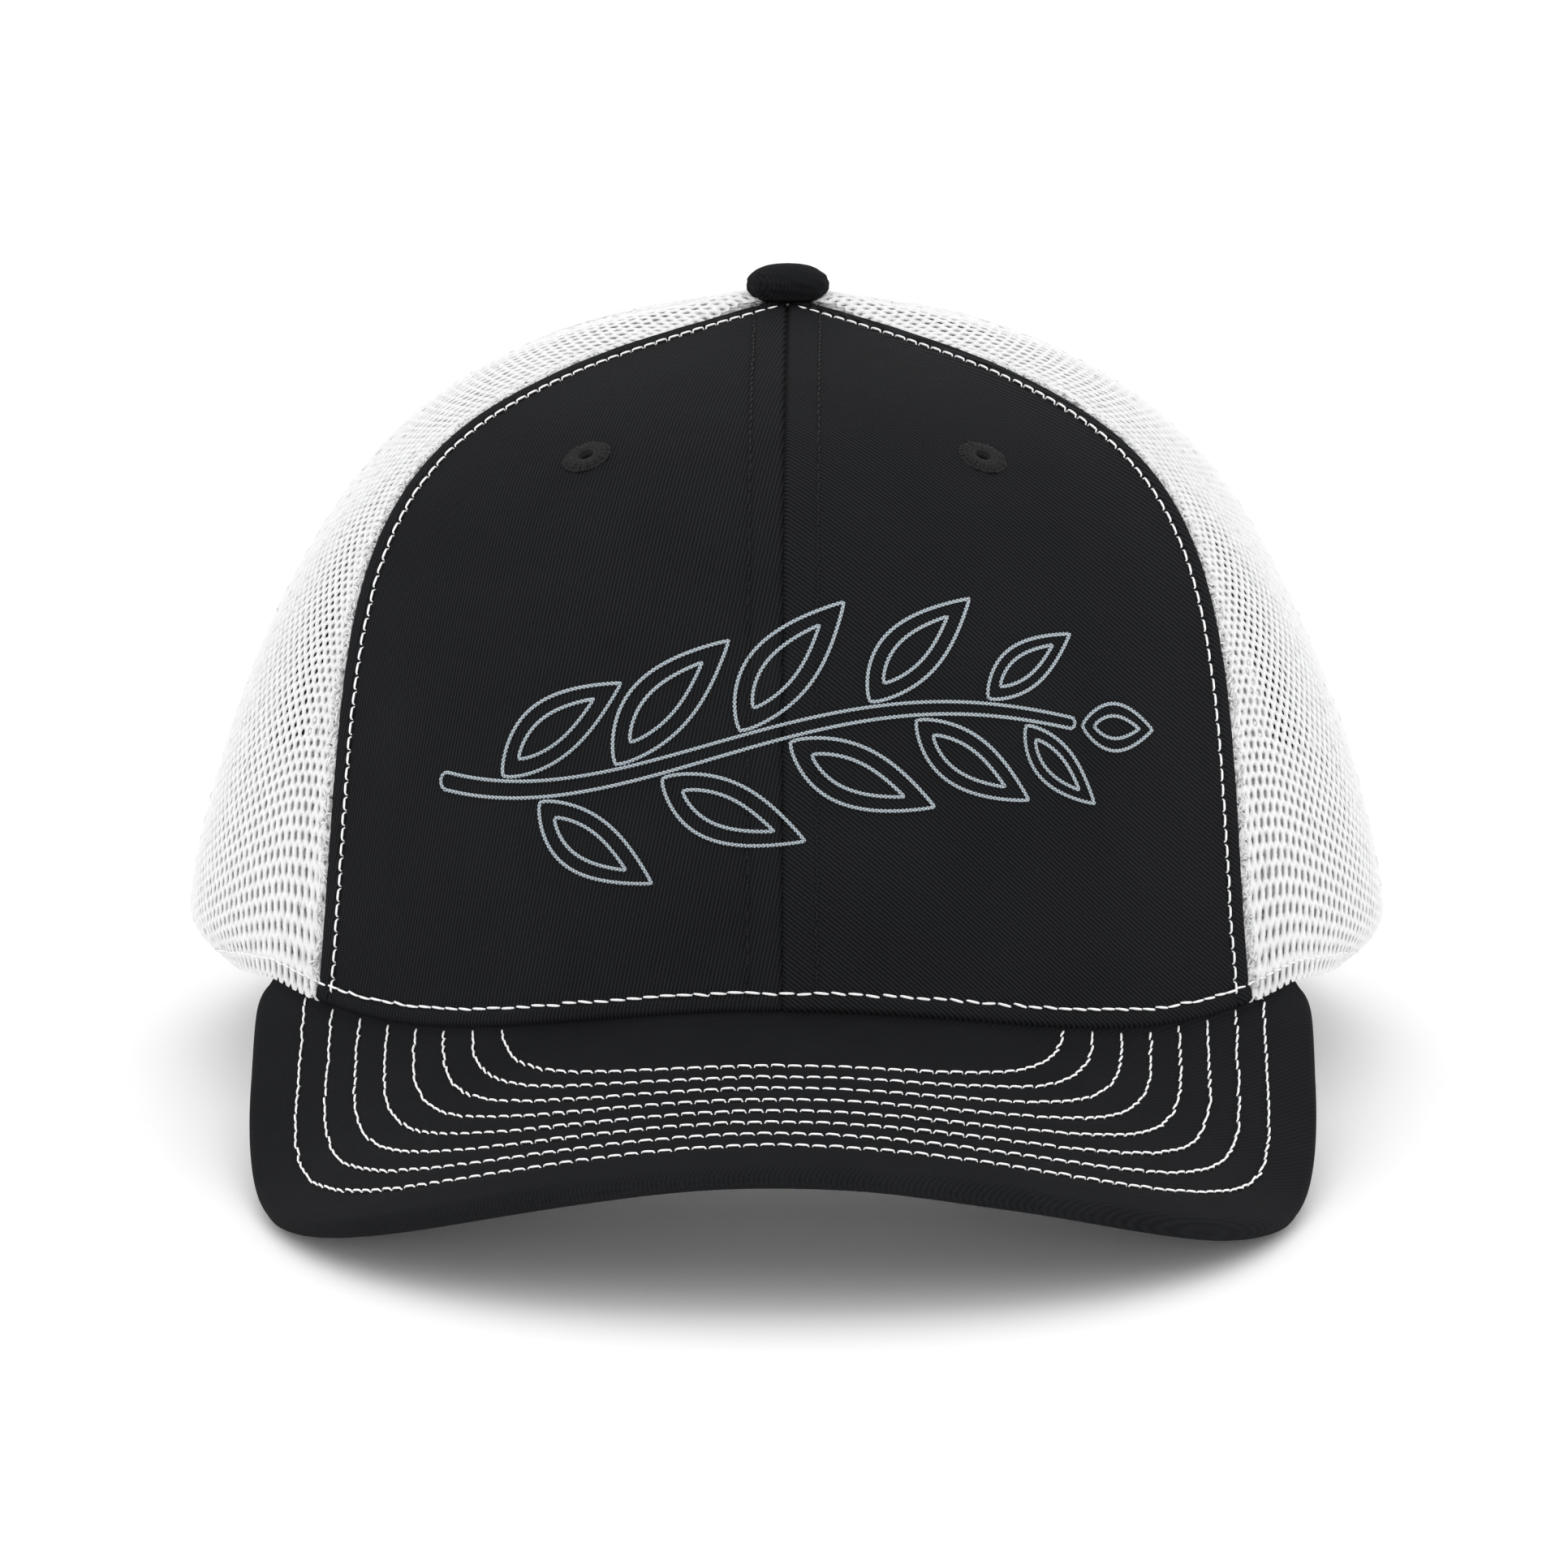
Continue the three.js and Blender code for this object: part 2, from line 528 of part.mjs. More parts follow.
function snapClosure() {
  const snaps = Array.from({ length: SNAP_COUNT }, (_, i) => SNAP_FIRST + i * SNAP_PITCH);
  const tip = 5;
  const start = STRAP_HINGE - HINGE_GAP;
  // the strap with holes leaves the crown on the left and lies outside the one with pegs
  const holes = snaps.map((at) => snapCylinder(at - STRAP_HINGE, HOLE_RADIUS, -3, 6, 16));
  const outerBand = strapBand(-start, STRAP_REACH - STRAP_HINGE, STRAP_DEPTH_OUTER, tip);
  place("hole_strap", cut(outerBand, holes), whitePlastic);
  const pegs = snaps.map((at) => {
    const [top, foot] = [STRAP_DEPTH_INNER - PEG_HEIGHT, STRAP_DEPTH_INNER + STRAP_THICKNESS / 2];
    return snapCylinder(STRAP_HINGE - at, PEG_RADIUS, top, foot, 12);
  });
  const innerBand = strapBand(start, STRAP_HINGE - STRAP_REACH, STRAP_DEPTH_INNER, tip);
  place("peg_strap", join(innerBand, pegs), whitePlastic);
  const root = (side) => {
    const [from, to] = [side * (STRAP_HINGE + HINGE_GAP), side * (STRAP_HINGE + STRAP_ROOT)];
    return sheet(3, 1, (u, v, face) => {
      const arc = THREE.MathUtils.lerp(from, to, u);
      return strapPoint(arc, STRAP_LOW + v * STRAP_HEIGHT, STRAP_DEPTH_INNER + face * STRAP_THICKNESS);
    });
  };
  place("hole_strap_root", root(-1), whitePlastic);
  place("peg_strap_root", root(1), whitePlastic);
}

frontPanels();
eyelets();
meshPanels();
archBinding();
seamTapes();
sweatband();
careLabel();
topButton();
visor();
snapClosure();

// ---- standing on a table ------------------------------------------------------------------------
// The lowest point of the named meshes once the crown is tipped back.
function lowest(names, tilt) {
  const point = new THREE.Vector3();
  const axis = new THREE.Vector3(1, 0, 0);
  let low = Infinity;
  for (const name of names) {
    const position = crown.getObjectByName(name).geometry.attributes.position;
    for (let i = 0; i < position.count; i++) {
      low = min(low, point.fromBufferAttribute(position, i).applyAxisAngle(axis, -tilt).z);
    }
  }
  return low;
}

function restingTilt() {
  let [low, high] = [0, rad(20)];
  const rear = ["back_mesh_left", "back_mesh_right", "arch_binding"];
  for (let i = 0; i < 30; i++) {
    const tilt = (low + high) / 2;
    if (lowest(["visor_under_cover"], tilt) < lowest(rear, tilt)) low = tilt;
    else high = tilt;
  }
  return (low + high) / 2;
}

const REST_TILT = restingTilt();
crown.rotation.x = -REST_TILT;
const box = new THREE.Box3().setFromObject(cap, true);
const middle = box.getCenter(new THREE.Vector3());
crown.position.set(-middle.x, -middle.y, -box.min.z);

export default cap;
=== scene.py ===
# %% [markdown]
# # Trucker mesh cap
# The cap has two stiff black panels in front, white knitted mesh round the sides and back, a stitched visor, and a
# strap that snaps shut across an arch in the rear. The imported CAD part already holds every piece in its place, and
# this file builds what is seen of them: cloth, knit, thread and plastic. Lengths are worked out in millimetres in
# the crown's own frame, where the rim lies at z = 0 and the visor points along -y, so that each number is one that
# could be measured on a cap. They become metres only when a mesh is made.

import json
import math

import bmesh
import bpy
import numpy as np
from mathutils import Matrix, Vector


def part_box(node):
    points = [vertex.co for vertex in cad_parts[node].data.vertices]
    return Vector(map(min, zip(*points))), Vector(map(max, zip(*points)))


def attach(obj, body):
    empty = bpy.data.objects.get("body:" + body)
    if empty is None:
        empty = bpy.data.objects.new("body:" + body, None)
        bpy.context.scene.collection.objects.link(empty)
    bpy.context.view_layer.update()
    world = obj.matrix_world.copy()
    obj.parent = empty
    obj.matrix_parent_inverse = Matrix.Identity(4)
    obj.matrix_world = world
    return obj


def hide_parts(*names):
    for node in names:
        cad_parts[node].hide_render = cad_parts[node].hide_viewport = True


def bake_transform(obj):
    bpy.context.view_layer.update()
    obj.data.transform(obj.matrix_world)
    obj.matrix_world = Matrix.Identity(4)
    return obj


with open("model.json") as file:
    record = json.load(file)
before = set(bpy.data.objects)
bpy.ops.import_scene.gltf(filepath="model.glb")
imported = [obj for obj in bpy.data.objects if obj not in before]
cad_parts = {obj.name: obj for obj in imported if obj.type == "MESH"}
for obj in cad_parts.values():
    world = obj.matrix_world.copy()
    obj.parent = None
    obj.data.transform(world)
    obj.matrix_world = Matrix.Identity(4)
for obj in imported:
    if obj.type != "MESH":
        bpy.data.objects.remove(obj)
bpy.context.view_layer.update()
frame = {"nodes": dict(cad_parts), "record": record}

# %% [markdown]
# ## Where the crown stands
# The cap rests on the visor's corners and its rear rim, so the crown leans back. Its upward direction is the axis of
# the strap joints, and its place is found from the washer under the button. Both numbers could be typed in again
# here, but when they are read from the part they can't come to differ from it.

# %% The crown's frame
HALF_WIDTH, FRONT_LENGTH, BACK_LENGTH, CROWN_HEIGHT = 93.0, 100.0, 97.0, 105.0
WASHER_DROP, WASHER_THICKNESS = 5.3, 0.8  # the drop is from the crown's top to the washer

UP = Vector(frame["record"]["behaviour"]["joints"][0]["axis"]).normalized()
RIGHT = Vector((1, 0, 0))
washer_low, washer_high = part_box("button_washer")
washer_middle = (Vector(washer_low) + Vector(washer_high)) / 2
ORIGIN = washer_middle - UP * (CROWN_HEIGHT - WASHER_DROP - WASHER_THICKNESS / 2) / 1000
TURN = np.array([RIGHT, UP.cross(RIGHT), UP])  # rows: the crown's axes in the row frame


def to_row(points):
    """Crown millimetres to row metres."""
    return np.asarray(points, float) @ TURN / 1000 + np.array(ORIGIN)


print("crown origin", [round(c, 4) for c in ORIGIN], "up", [round(c, 3) for c in UP])

# %% [markdown]
# ## The crown's surface
# The crown is a dome sewn from gores. It could be sculpted, but then nothing would be left to measure the other
# pieces from, so it is written as a formula. A point is given by its angle round from the nose and its share of the
# way up. Three side views of the dome, for the front, the side and the back, are Bezier curves that blend into one
# another. The rim follows the visor's bend in front and is drawn in a little at the sides.

# %% Soft steps and bells
def smooth(x):
    """Goes softly from 0 to 1 as x does."""
    s = np.clip(x, 0, 1)
    return s * s * (3 - 2 * s)


def bell(x, middle, width):
    """1 in the middle, falling softly to 0 on both sides."""
    return np.exp(-(((x - middle) / width) ** 2))


def at_angle(radius, theta, z):
    """The point at a radius and at an angle round from the nose."""
    return np.stack([radius * np.sin(theta), -radius * np.cos(theta), z], -1)


print("smooth(0.25) is", float(smooth(0.25)), "and bell(1, 0, 1) is", round(float(bell(1, 0, 1)), 3))

# %% The rim, from above and from the side
VISOR_SLOPE, VISOR_REAR_BEND, VISOR_FRONT_BEND = math.tan(math.radians(14.6)), 0.0037, 0.0084
VISOR_BEND_FROM, VISOR_BEND_OVER = 48.0, 66.0  # ahead of the crown's middle
VISOR_ENDS, RIM_RECOVERY = math.radians(57), math.radians(40)


def rim_radius(theta):
    length = np.where(np.cos(theta) > 0, FRONT_LENGTH, BACK_LENGTH)
    return 1 / np.hypot(np.sin(theta) / HALF_WIDTH, np.cos(theta) / length)


def visor_height(x, ahead):
    forward = smooth((ahead - VISOR_BEND_FROM) / VISOR_BEND_OVER)
    bend = VISOR_REAR_BEND + (VISOR_FRONT_BEND - VISOR_REAR_BEND) * forward
    return (FRONT_LENGTH - ahead) * VISOR_SLOPE - bend * x * x / 2


def rim_height(theta):
    turn = np.minimum(np.abs(theta), VISOR_ENDS)
    radius = rim_radius(turn)
    along = visor_height(radius * np.sin(turn), radius * np.cos(turn))
    return along * (1 - smooth((np.abs(theta) - VISOR_ENDS) / RIM_RECOVERY))


print("the rim at the nose and at the visor's ends is", [round(float(rim_height(a)), 2) for a in (0, VISOR_ENDS)])

# %% The dome
BINOMIAL = (1, 4, 6, 4, 1)  # the weights of a Bezier curve with five points
FRONT_MERIDIAN = ((1, 0), (0.94, 0.375), (0.92, 0.78), (0.76, 0.84), (0, 1))
SIDE_MERIDIAN = ((1, 0), (1.12, 0.02), (0.84, 0.65), (0.82, 0.98), (0, 1))
BACK_MERIDIAN = ((1, 0), (1, 0.38), (1, 0.92), (0.6, 1.04), (0, 1))
FRONT_ENDS, SIDE_AT, BACK_AT = (math.radians(a) for a in (50, 90, 160))
TUCK_HEIGHT, SIDE_TUCK, BACK_TUCK = 9.0, 0.05, 0.015  # how high and how far the rim is drawn in


def outer_point(theta, t):
    theta, t = np.broadcast_arrays(np.asarray(theta, float), np.asarray(t, float))
    turn = np.abs(theta)
    past_front = smooth((turn - FRONT_ENDS) / (SIDE_AT - FRONT_ENDS))
    past_side = smooth((turn - SIDE_AT) / (BACK_AT - SIDE_AT))
    weights = (1 - past_front, past_front * (1 - past_side), past_front * past_side)
    out, up = np.zeros_like(t), np.zeros_like(t)
    for weight, curve in zip(weights, (FRONT_MERIDIAN, SIDE_MERIDIAN, BACK_MERIDIAN)):
        for i, (share_out, share_up) in enumerate(curve):
            basis = BINOMIAL[i] * (1 - t) ** (4 - i) * t**i * weight
            out, up = out + basis * share_out, up + basis * share_up
    z = CROWN_HEIGHT * up + rim_height(theta) * (1 - up)
    tucked = np.maximum(1 - np.maximum(z, 0) / TUCK_HEIGHT, 0) ** 2
    radius = rim_radius(theta) * out * (1 - (SIDE_TUCK * weights[1] + BACK_TUCK * weights[2]) * tucked)
    return at_angle(radius, theta, z)


print("the crown's top is at", outer_point(0.0, 1.0).round(2))

# %% Normals and distances
def unit(v):
    return v / np.maximum(np.linalg.norm(v, axis=-1, keepdims=True), 1e-12)


def crown(theta, t, lift=0.0):
    """A point of the crown raised by lift from its outer face, and the outward normal there."""
    step = 1e-3
    across = outer_point(theta + step, t) - outer_point(theta - step, t)
    along = outer_point(theta, np.minimum(t + step, 1)) - outer_point(theta, np.maximum(t - step, 0))
    normal = unit(np.cross(across, along))
    return outer_point(theta, t) + normal * np.asarray(lift)[..., None], normal


def spread(theta, t):
    p = outer_point(theta, t)
    return np.hypot(p[..., 0], p[..., 1])


print("the crown is", round(2 * float(spread(math.pi / 2, 0.0)), 1), "mm wide at the rim")

# %% The seams
SEAM_TOP = 0.99  # seams end just under the button
FRONT_SEAM, FRONT_SEAM_SWING = math.radians(48.5), math.radians(11)
REAR_SEAM, REAR_SEAM_SWING = math.radians(114.5), math.radians(5.5)


def front_seam(t):
    return FRONT_SEAM + FRONT_SEAM_SWING * t**1.5


def rear_seam(t):
    return REAR_SEAM + REAR_SEAM_SWING * t**1.5


def centre_seam(t):
    return np.zeros_like(t)


def back_seam(t):
    return np.full_like(t, math.pi)


print("seams at", [round(math.degrees(a), 1) for a in (FRONT_SEAM, REAR_SEAM)], "degrees round from the nose")

# %% [markdown]
# ## Unevenness
# Cloth is never quite flat, nor a seam quite straight. A Displace modifier with a noise texture could push the cloth
# about, but what lies on it wouldn't follow. A sum of sine waves can be asked for its height at any place, so
# panels, stitches and knit are all moved by the same waves. The seed keeps the waves the same in every run.

# %% Ripples
class Ripple:
    """Smooth noise: a sum of sine waves with set directions and phases."""

    def __init__(self, wavelength, waves=7, seed=1):
        draw = np.random.default_rng(seed)
        lengths = wavelength * draw.uniform(0.7, 1.6, waves)
        headings = draw.uniform(0, math.pi, waves)
        self.kx, self.ky = (2 * math.pi / lengths * f(headings) for f in (np.cos, np.sin))
        self.phase = draw.uniform(0, 2 * math.pi, waves)

    def __call__(self, x, y=0.0):
        waves = [np.sin(kx * x + ky * y + p) for kx, ky, p in zip(self.kx, self.ky, self.phase)]
        return sum(waves) / math.sqrt(len(waves))


print("a ripple's height at one place:", round(float(Ripple(10)(0.0)), 3))

# %% [markdown]
# ## Making meshes
# There are hundreds of thousands of faces in the knit and the stitches. Adding them one at a time, with operators or
# with bmesh, would take minutes. Here points, faces and texture maps are worked out as numpy arrays and handed to
# Blender whole. Maps are in millimetres, so that a weave has its real size on every piece.

# %% One mesh from arrays
def add_object(name, data):
    obj = bpy.data.objects.new(name, data)
    bpy.context.scene.collection.objects.link(obj)
    return obj


def mesh_piece(name, points, faces, uv=None):
    """A smooth mesh from crown points, faces that all have the same number of corners, and a map."""
    mesh = bpy.data.meshes.new(name)
    mesh.vertices.add(len(points))
    mesh.vertices.foreach_set("co", to_row(points).astype(np.float32).ravel())
    count, sides = faces.shape
    corners = faces.astype(np.int32).ravel()
    mesh.loops.add(len(corners))
    mesh.loops.foreach_set("vertex_index", corners)
    mesh.polygons.add(count)
    mesh.polygons.foreach_set("loop_start", np.arange(count, dtype=np.int32) * sides)
    mesh.polygons.foreach_set("use_smooth", np.ones(count, bool))
    if uv is not None:
        layer = mesh.uv_layers.new(name="cloth")
        layer.data.foreach_set("uv", np.asarray(uv, np.float32)[corners].ravel())
    mesh.update(calc_edges=True)
    mesh.validate()
    return add_object(name, mesh)


def finish_piece(obj, material, body="cap", nodes=()):
    """Paints a piece, lets it ride on a body and hides the CAD nodes that it stands for."""
    obj.data.materials.clear()
    obj.data.materials.append(material)
    if body:
        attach(obj, body)
    if nodes:
        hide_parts(*nodes)
    return obj


print("a mesh can be made from arrays")

# %% Grids
def grid_faces(rows, columns, start=0, flip=False):
    """Quads over a grid of rows by columns points."""
    index = start + np.arange(rows * columns).reshape(rows, columns)
    quads = np.stack([index[:-1, :-1], index[:-1, 1:], index[1:, 1:], index[1:, :-1]], -1).reshape(-1, 4)
    return quads[:, ::-1] if flip else quads


def grid_piece(name, points, uv, flip=False):
    """A grid of crown points and its map as one mesh."""
    rows, columns = points.shape[:2]
    return mesh_piece(name, points.reshape(-1, 3), grid_faces(rows, columns, flip=flip), uv.reshape(-1, 2))


print("a grid of 3 by 3 points has", len(grid_faces(3, 3)), "faces")

# %% Distances along a line
def pairs(a, b):
    """An array of pairs from two arrays that are stretched to fit each other."""
    return np.stack(np.broadcast_arrays(a, b), -1)


def lengths_along(path):
    """The distance covered at each point of a path."""
    return np.concatenate([[0], np.cumsum(np.linalg.norm(np.diff(path, axis=0), axis=1))])


def read_off(at, known, table):
    """The two columns of a table, read off between its known places."""
    return np.stack([np.interp(at, known, table[:, k]) for k in (0, 1)], -1)


def finer(profile, count):
    """A profile with more points, on straight lines between its own."""
    profile = np.asarray(profile, float)
    return read_off(np.linspace(0, len(profile) - 1, count), np.arange(len(profile)), profile)


def resample(params, surface, spacing):
    """Evenly spaced places along a line of surface parameters, and their distances from its start."""
    params = np.asarray(params, float)
    length = lengths_along(surface(params[:, 0], params[:, 1])[0])
    at = np.linspace(0, length[-1], max(int(length[-1] / spacing), 2) + 1)
    return read_off(at, length, params), at


print("a profile of 2 points made finer:", finer([(0, 0), (1, 2)], 3).tolist())

# %% Tubes
def tubes(paths, normals, radii, sides=6):
    """Tubes along several paths, each path with a normal per point and one radius or one per point.
    Returns points, faces and a map whose first number runs along the tube."""
    points, faces, maps, start = [], [], [], 0
    angles = np.arange(sides + 1) / sides * 2 * math.pi
    for path, normal, radius in zip(paths, normals, radii):
        tangent = unit(np.gradient(path, axis=0))
        aside = unit(np.cross(tangent, normal))
        up = np.cross(aside, tangent)
        r = np.broadcast_to(radius, len(path))[:, None, None]
        ring = path[:, None] + r * (np.cos(angles)[None, :, None] * aside[:, None]
                                    + np.sin(angles)[None, :, None] * up[:, None])
        points.append(ring.reshape(-1, 3))
        faces.append(grid_faces(len(path), sides + 1, start))
        maps.append(pairs(lengths_along(path)[:, None], (angles / (2 * math.pi))[None]).reshape(-1, 2))
        start += len(path) * (sides + 1)
    return np.concatenate(points), np.concatenate(faces), np.concatenate(maps)


print("a tube can be laid along any path")

# %% Turned shapes
def turned(profile, axis_point, axis, segments, scale=None):
    """A shape turned about an axis, as a grid of points. The profile holds radii and heights."""
    axis = unit(np.asarray(axis, float))
    side = unit(np.cross(axis, (0.3, 0.9, 0.1)))  # any direction that isn't the axis would do
    other = np.cross(axis, side)
    angles = np.arange(segments + 1) / segments * 2 * math.pi
    ring = np.cos(angles)[:, None] * side + np.sin(angles)[:, None] * other
    profile = np.asarray(profile, float)
    radius = profile[:, 0, None] * (np.ones_like(angles)[None] if scale is None else scale(angles, profile))
    return np.asarray(axis_point) + radius[..., None] * ring[None] + profile[:, 1, None, None] * axis


print("mesh tools ready")

# %% [markdown]
# ## Stitches
# Lockstitch looks like a row of short bars, each going into the cloth at both ends. A texture of stitches would
# stay flat in raking light, and separate capsules would float. So a row is one thread: a tube that rises out of the
# cloth, runs along it and dives in again at the end of every stitch. Each stitch leans and wanders a little, because
# a machine doesn't place them perfectly either.

# %% A row of stitches
SAMPLES = 9  # points along each stitch
STITCH_DIVE = 0.75  # how far a thread goes in at the end of a stitch
STITCH_RAMP = 0.16  # the share of a stitch's length that it takes to rise out of the cloth


def stitch_row(params, surface, pitch=2.4, radius=0.17, lift=0.0, wander=0.06, slant=0.12, seed=0):
    """One thread along a line of surface parameters: its path, its normals and its radius."""
    line, at = resample(params, surface, pitch / SAMPLES)
    draw = np.random.default_rng(seed)
    share = (at / pitch) % 1
    which = (at / pitch).astype(int)
    lean = slant + draw.normal(0, wander, which.max() + 2)
    shift = draw.normal(0, wander, which.max() + 2)
    points, normal = surface(line[:, 0], line[:, 1])
    tangent = unit(np.gradient(points, axis=0))
    aside = np.cross(tangent, normal)
    laid = smooth(np.minimum(share, 1 - share) / STITCH_RAMP)
    raise_by = lift + radius * (0.5 * laid + 0.12 * np.sin(math.pi * share)) - STITCH_DIVE * (1 - laid)
    sideways = shift[which] + lean[which] * (share - 0.5) * 2
    path = points + normal * raise_by[:, None] + aside * sideways[:, None]
    return path, normal, radius * (0.5 + 0.5 * np.sin(math.pi * share) ** 0.7)


def stitch_piece(name, rows, material, sides=6):
    """Rows of stitches as one piece."""
    return finish_piece(mesh_piece(name, *tubes(*zip(*rows), sides)), material)


print("a stitch has", SAMPLES, "points along it")

# %% [markdown]
# ## Shader sums
# Materials here are sums of waves and noise. In the shader editor each sum would be a chain of Math nodes, which is
# slow to lay out and hard to read. A Value wraps one output of a node and adds the Math node when Python adds or
# multiplies it, so that a shader is written as the sum it is.

# %% The Value class
class Value:
    def __init__(self, tree, socket):
        self.tree, self.socket = tree, socket

    def node(self, kind, settings=None, inputs=None):
        """Any node: its type, its settings, then its inputs by name or number. Returns its outputs as Values."""
        node = self.tree.nodes.new(kind)
        for key, value in (settings or {}).items():
            setattr(node, key, value)
        for key, value in (inputs or {}).items():
            put(self.tree, node.inputs[key], value)
        return {o.name: Value(self.tree, o) for o in node.outputs} | {
            i: Value(self.tree, o) for i, o in enumerate(node.outputs)
        }

    def math(self, operation, *values):
        return self.node("ShaderNodeMath", {"operation": operation}, dict(enumerate(values)))[0]

    def __add__(self, other):
        return self.math("ADD", self, other)

    def __sub__(self, other):
        return self.math("SUBTRACT", self, other)

    def __rsub__(self, other):
        return self.math("SUBTRACT", other, self)

    def __mul__(self, other):
        return self.math("MULTIPLY", self, other)

    __radd__, __rmul__ = __add__, __mul__

    def sin(self):
        return self.math("SINE", self)

    def clamp(self):
        return self.node("ShaderNodeClamp", {}, {0: self})[0]

    def blend(self, dark, light):
        """A colour between two, by this value."""
        return self.node("ShaderNodeMix", {"data_type": "RGBA"}, {0: self, 6: dark, 7: light})[2]


def put(tree, socket, value):
    if isinstance(value, Value):
        tree.links.new(value.socket, socket)
    elif hasattr(socket.default_value, "__len__") and len(socket.default_value) == 4 and len(value) == 3:
        socket.default_value = (*value, 1)
    else:
        socket.default_value = value


print("shader sums ready")

# %% A material and its parts
def material(name, roughness, **fixed):
    """A new material, its shader, a Value to start sums from, and the cloth map's two numbers."""
    look = bpy.data.materials.new(name)
    look.use_nodes = True
    tree = look.node_tree
    shader = tree.nodes["Principled BSDF"]
    shader.inputs["Roughness"].default_value = roughness
    for key, value in fixed.items():
        put(tree, shader.inputs[key.replace("_", " ")], value)
    start = Value(tree, None)
    cloth_map = start.node("ShaderNodeUVMap", {"uv_map": "cloth"})["UV"]
    split = start.node("ShaderNodeSeparateXYZ", {}, {0: cloth_map})
    return look, shader, start, split["X"], split["Y"]


def noise(start, scale, detail=2.0):
    place = start.node("ShaderNodeTexCoord")["Object"]
    return start.node("ShaderNodeTexNoise", {}, {"Scale": scale, "Detail": detail, "Vector": place})[0]


def stripes(turns, wobble=0.0):
    """Soft bands between 0 and 1, one for each whole turn."""
    return (turns * (2 * math.pi) + wobble).sin() * 0.5 + 0.5


def colour_and_relief(start, shader, tone, dark, light, height, distance, strength=1.0):
    """Gives a shader a colour between two, by tone, and a relief of a height times a distance in metres."""
    put(start.tree, shader.inputs["Base Color"], tone.clamp().blend(dark, light))
    relief = {"Height": height, "Distance": distance, "Strength": strength}
    put(start.tree, shader.inputs["Normal"], start.node("ShaderNodeBump", {}, relief)[0])


print("material tools ready")

# %% [markdown]
# ## Black twill
# Twill is woven so that its threads cross in steps, which shows as slanting ribs. An image of twill would repeat and
# bring its own light with it. Two sets of sine stripes at an angle to each other, over a little noise, give the ribs
# and the finer threads across them, in the relief and as light and dark in the colour, which is partly the weave's own
# and partly painted highlight on the ribs. The two front panels are cut so that their ribs slant differently, and the
# right panel's ribs are given a deeper relief and more painted highlight than the left panel's.

# %% Twill
BLACK_DARK, BLACK_LIGHT = (0.0052, 0.0054, 0.0060), (0.0205, 0.0212, 0.0235)
CROSSING, CROSS_PITCH = 1.1, 0.62  # the angle to the crossing threads, and their pitch as a share of the ribs'


def twill(name, slant, pitch=0.5, relief=1.0):
    look, shader, start, u, v = material(name, 0.9, Specular_IOR_Level=0.06)
    wobble = noise(start, 220) * 0.9
    other = slant + CROSSING
    rib = stripes((u * math.cos(slant) + v * math.sin(slant)) * (1 / pitch), wobble)
    cross = stripes((u * math.cos(other) + v * math.sin(other)) * (1 / (pitch * CROSS_PITCH)))
    fuzz, patch = noise(start, 3000, 3), noise(start, 60, 3)
    # The ribs' light and dark in the colour is partly the weave and partly painted highlight; relief scales it with
    # the bump.
    threads = rib * (0.5 * relief) + cross * (0.16 * relief)
    tone = threads + fuzz * 0.4 + patch * 0.3 - (0.08 + 0.24 * relief)
    height = rib * 0.62 + cross * 0.22 + fuzz * 0.3
    colour_and_relief(start, shader, tone, BLACK_DARK, BLACK_LIGHT, height, 0.00012 * relief, 0.9)
    return look


# The right panel's ribs get the most painted highlight, the left panel's less.
twill_left = twill("twill_left", math.radians(-12), 0.58, 1.5)
twill_right = twill("twill_right", math.radians(52), 0.58, 1.8)
twill_visor = twill("twill_visor", math.radians(40), 0.58, 0.5)
twill_button = twill("twill_button", math.radians(30), relief=0.6)
print(len(bpy.data.materials), "materials")

# %% [markdown]
# ## Plainer cloths
# The knit's yarn, the tapes, the band, the backing and the label have no ribs to be seen at this distance, only
# threads at right angles. The product of two waves gives those. The polyester yarn of the mesh lets light through,
# which keeps the shaded side of a white cap white, so it is given some subsurface scattering.

# %% Plain weaves
def plain_cloth(name, dark, light, weave=0.5, depth=0.0001, roughness=0.9, fuzz_scale=2600, **fixed):
    look, shader, start, u, v = material(name, roughness, **fixed)
    threads = (u * (2 * math.pi / weave)).sin() * (v * (2 * math.pi / weave)).sin() * 0.5 + 0.5
    fuzz = noise(start, fuzz_scale, 3)
    tone, height = threads * 0.35 + fuzz * 0.65, threads * 0.6 + fuzz * 0.5
    colour_and_relief(start, shader, tone, dark, light, height, depth)
    return look


mesh_knit = plain_cloth("mesh_knit", (0.86, 0.865, 0.87), (0.985, 0.985, 0.99), 0.42, 0.00005, 0.75, 3600,
                        Specular_IOR_Level=0.2, Subsurface_Weight=0.85, Subsurface_Radius=(0.0012, 0.0012, 0.0012),
                        Subsurface_Scale=1.0)
band_cloth = plain_cloth("band_cloth", (0.78, 0.78, 0.775), (0.95, 0.95, 0.945), 0.55, 0.00012)
backing = plain_cloth("backing", (0.60, 0.60, 0.58), (0.80, 0.80, 0.78), 0.9, 0.00018)
tape_cloth = plain_cloth("tape_cloth", (0.008, 0.0085, 0.0095), (0.02, 0.021, 0.023), 0.7, 0.00015)
label_cloth = plain_cloth("label_cloth", (0.80, 0.80, 0.80), (0.9, 0.9, 0.9), 0.3, 0.00003, 0.5)
# shaded_cloth is near-black painted shade for the bottom of the eyelets' holes.
shaded_cloth = plain_cloth("shaded_cloth", (0.001, 0.001, 0.001), (0.004, 0.004, 0.004), 0.7, 0.0001)
print(len(bpy.data.materials), "materials")

# %% [markdown]
# ## Thread
# Sewing thread is two or three plies twisted together. At the size of a stitch the twist is best drawn as slanting
# stripes on a plain tube: the tube's map gives the distance along it and the turn round it, and their sum slants.

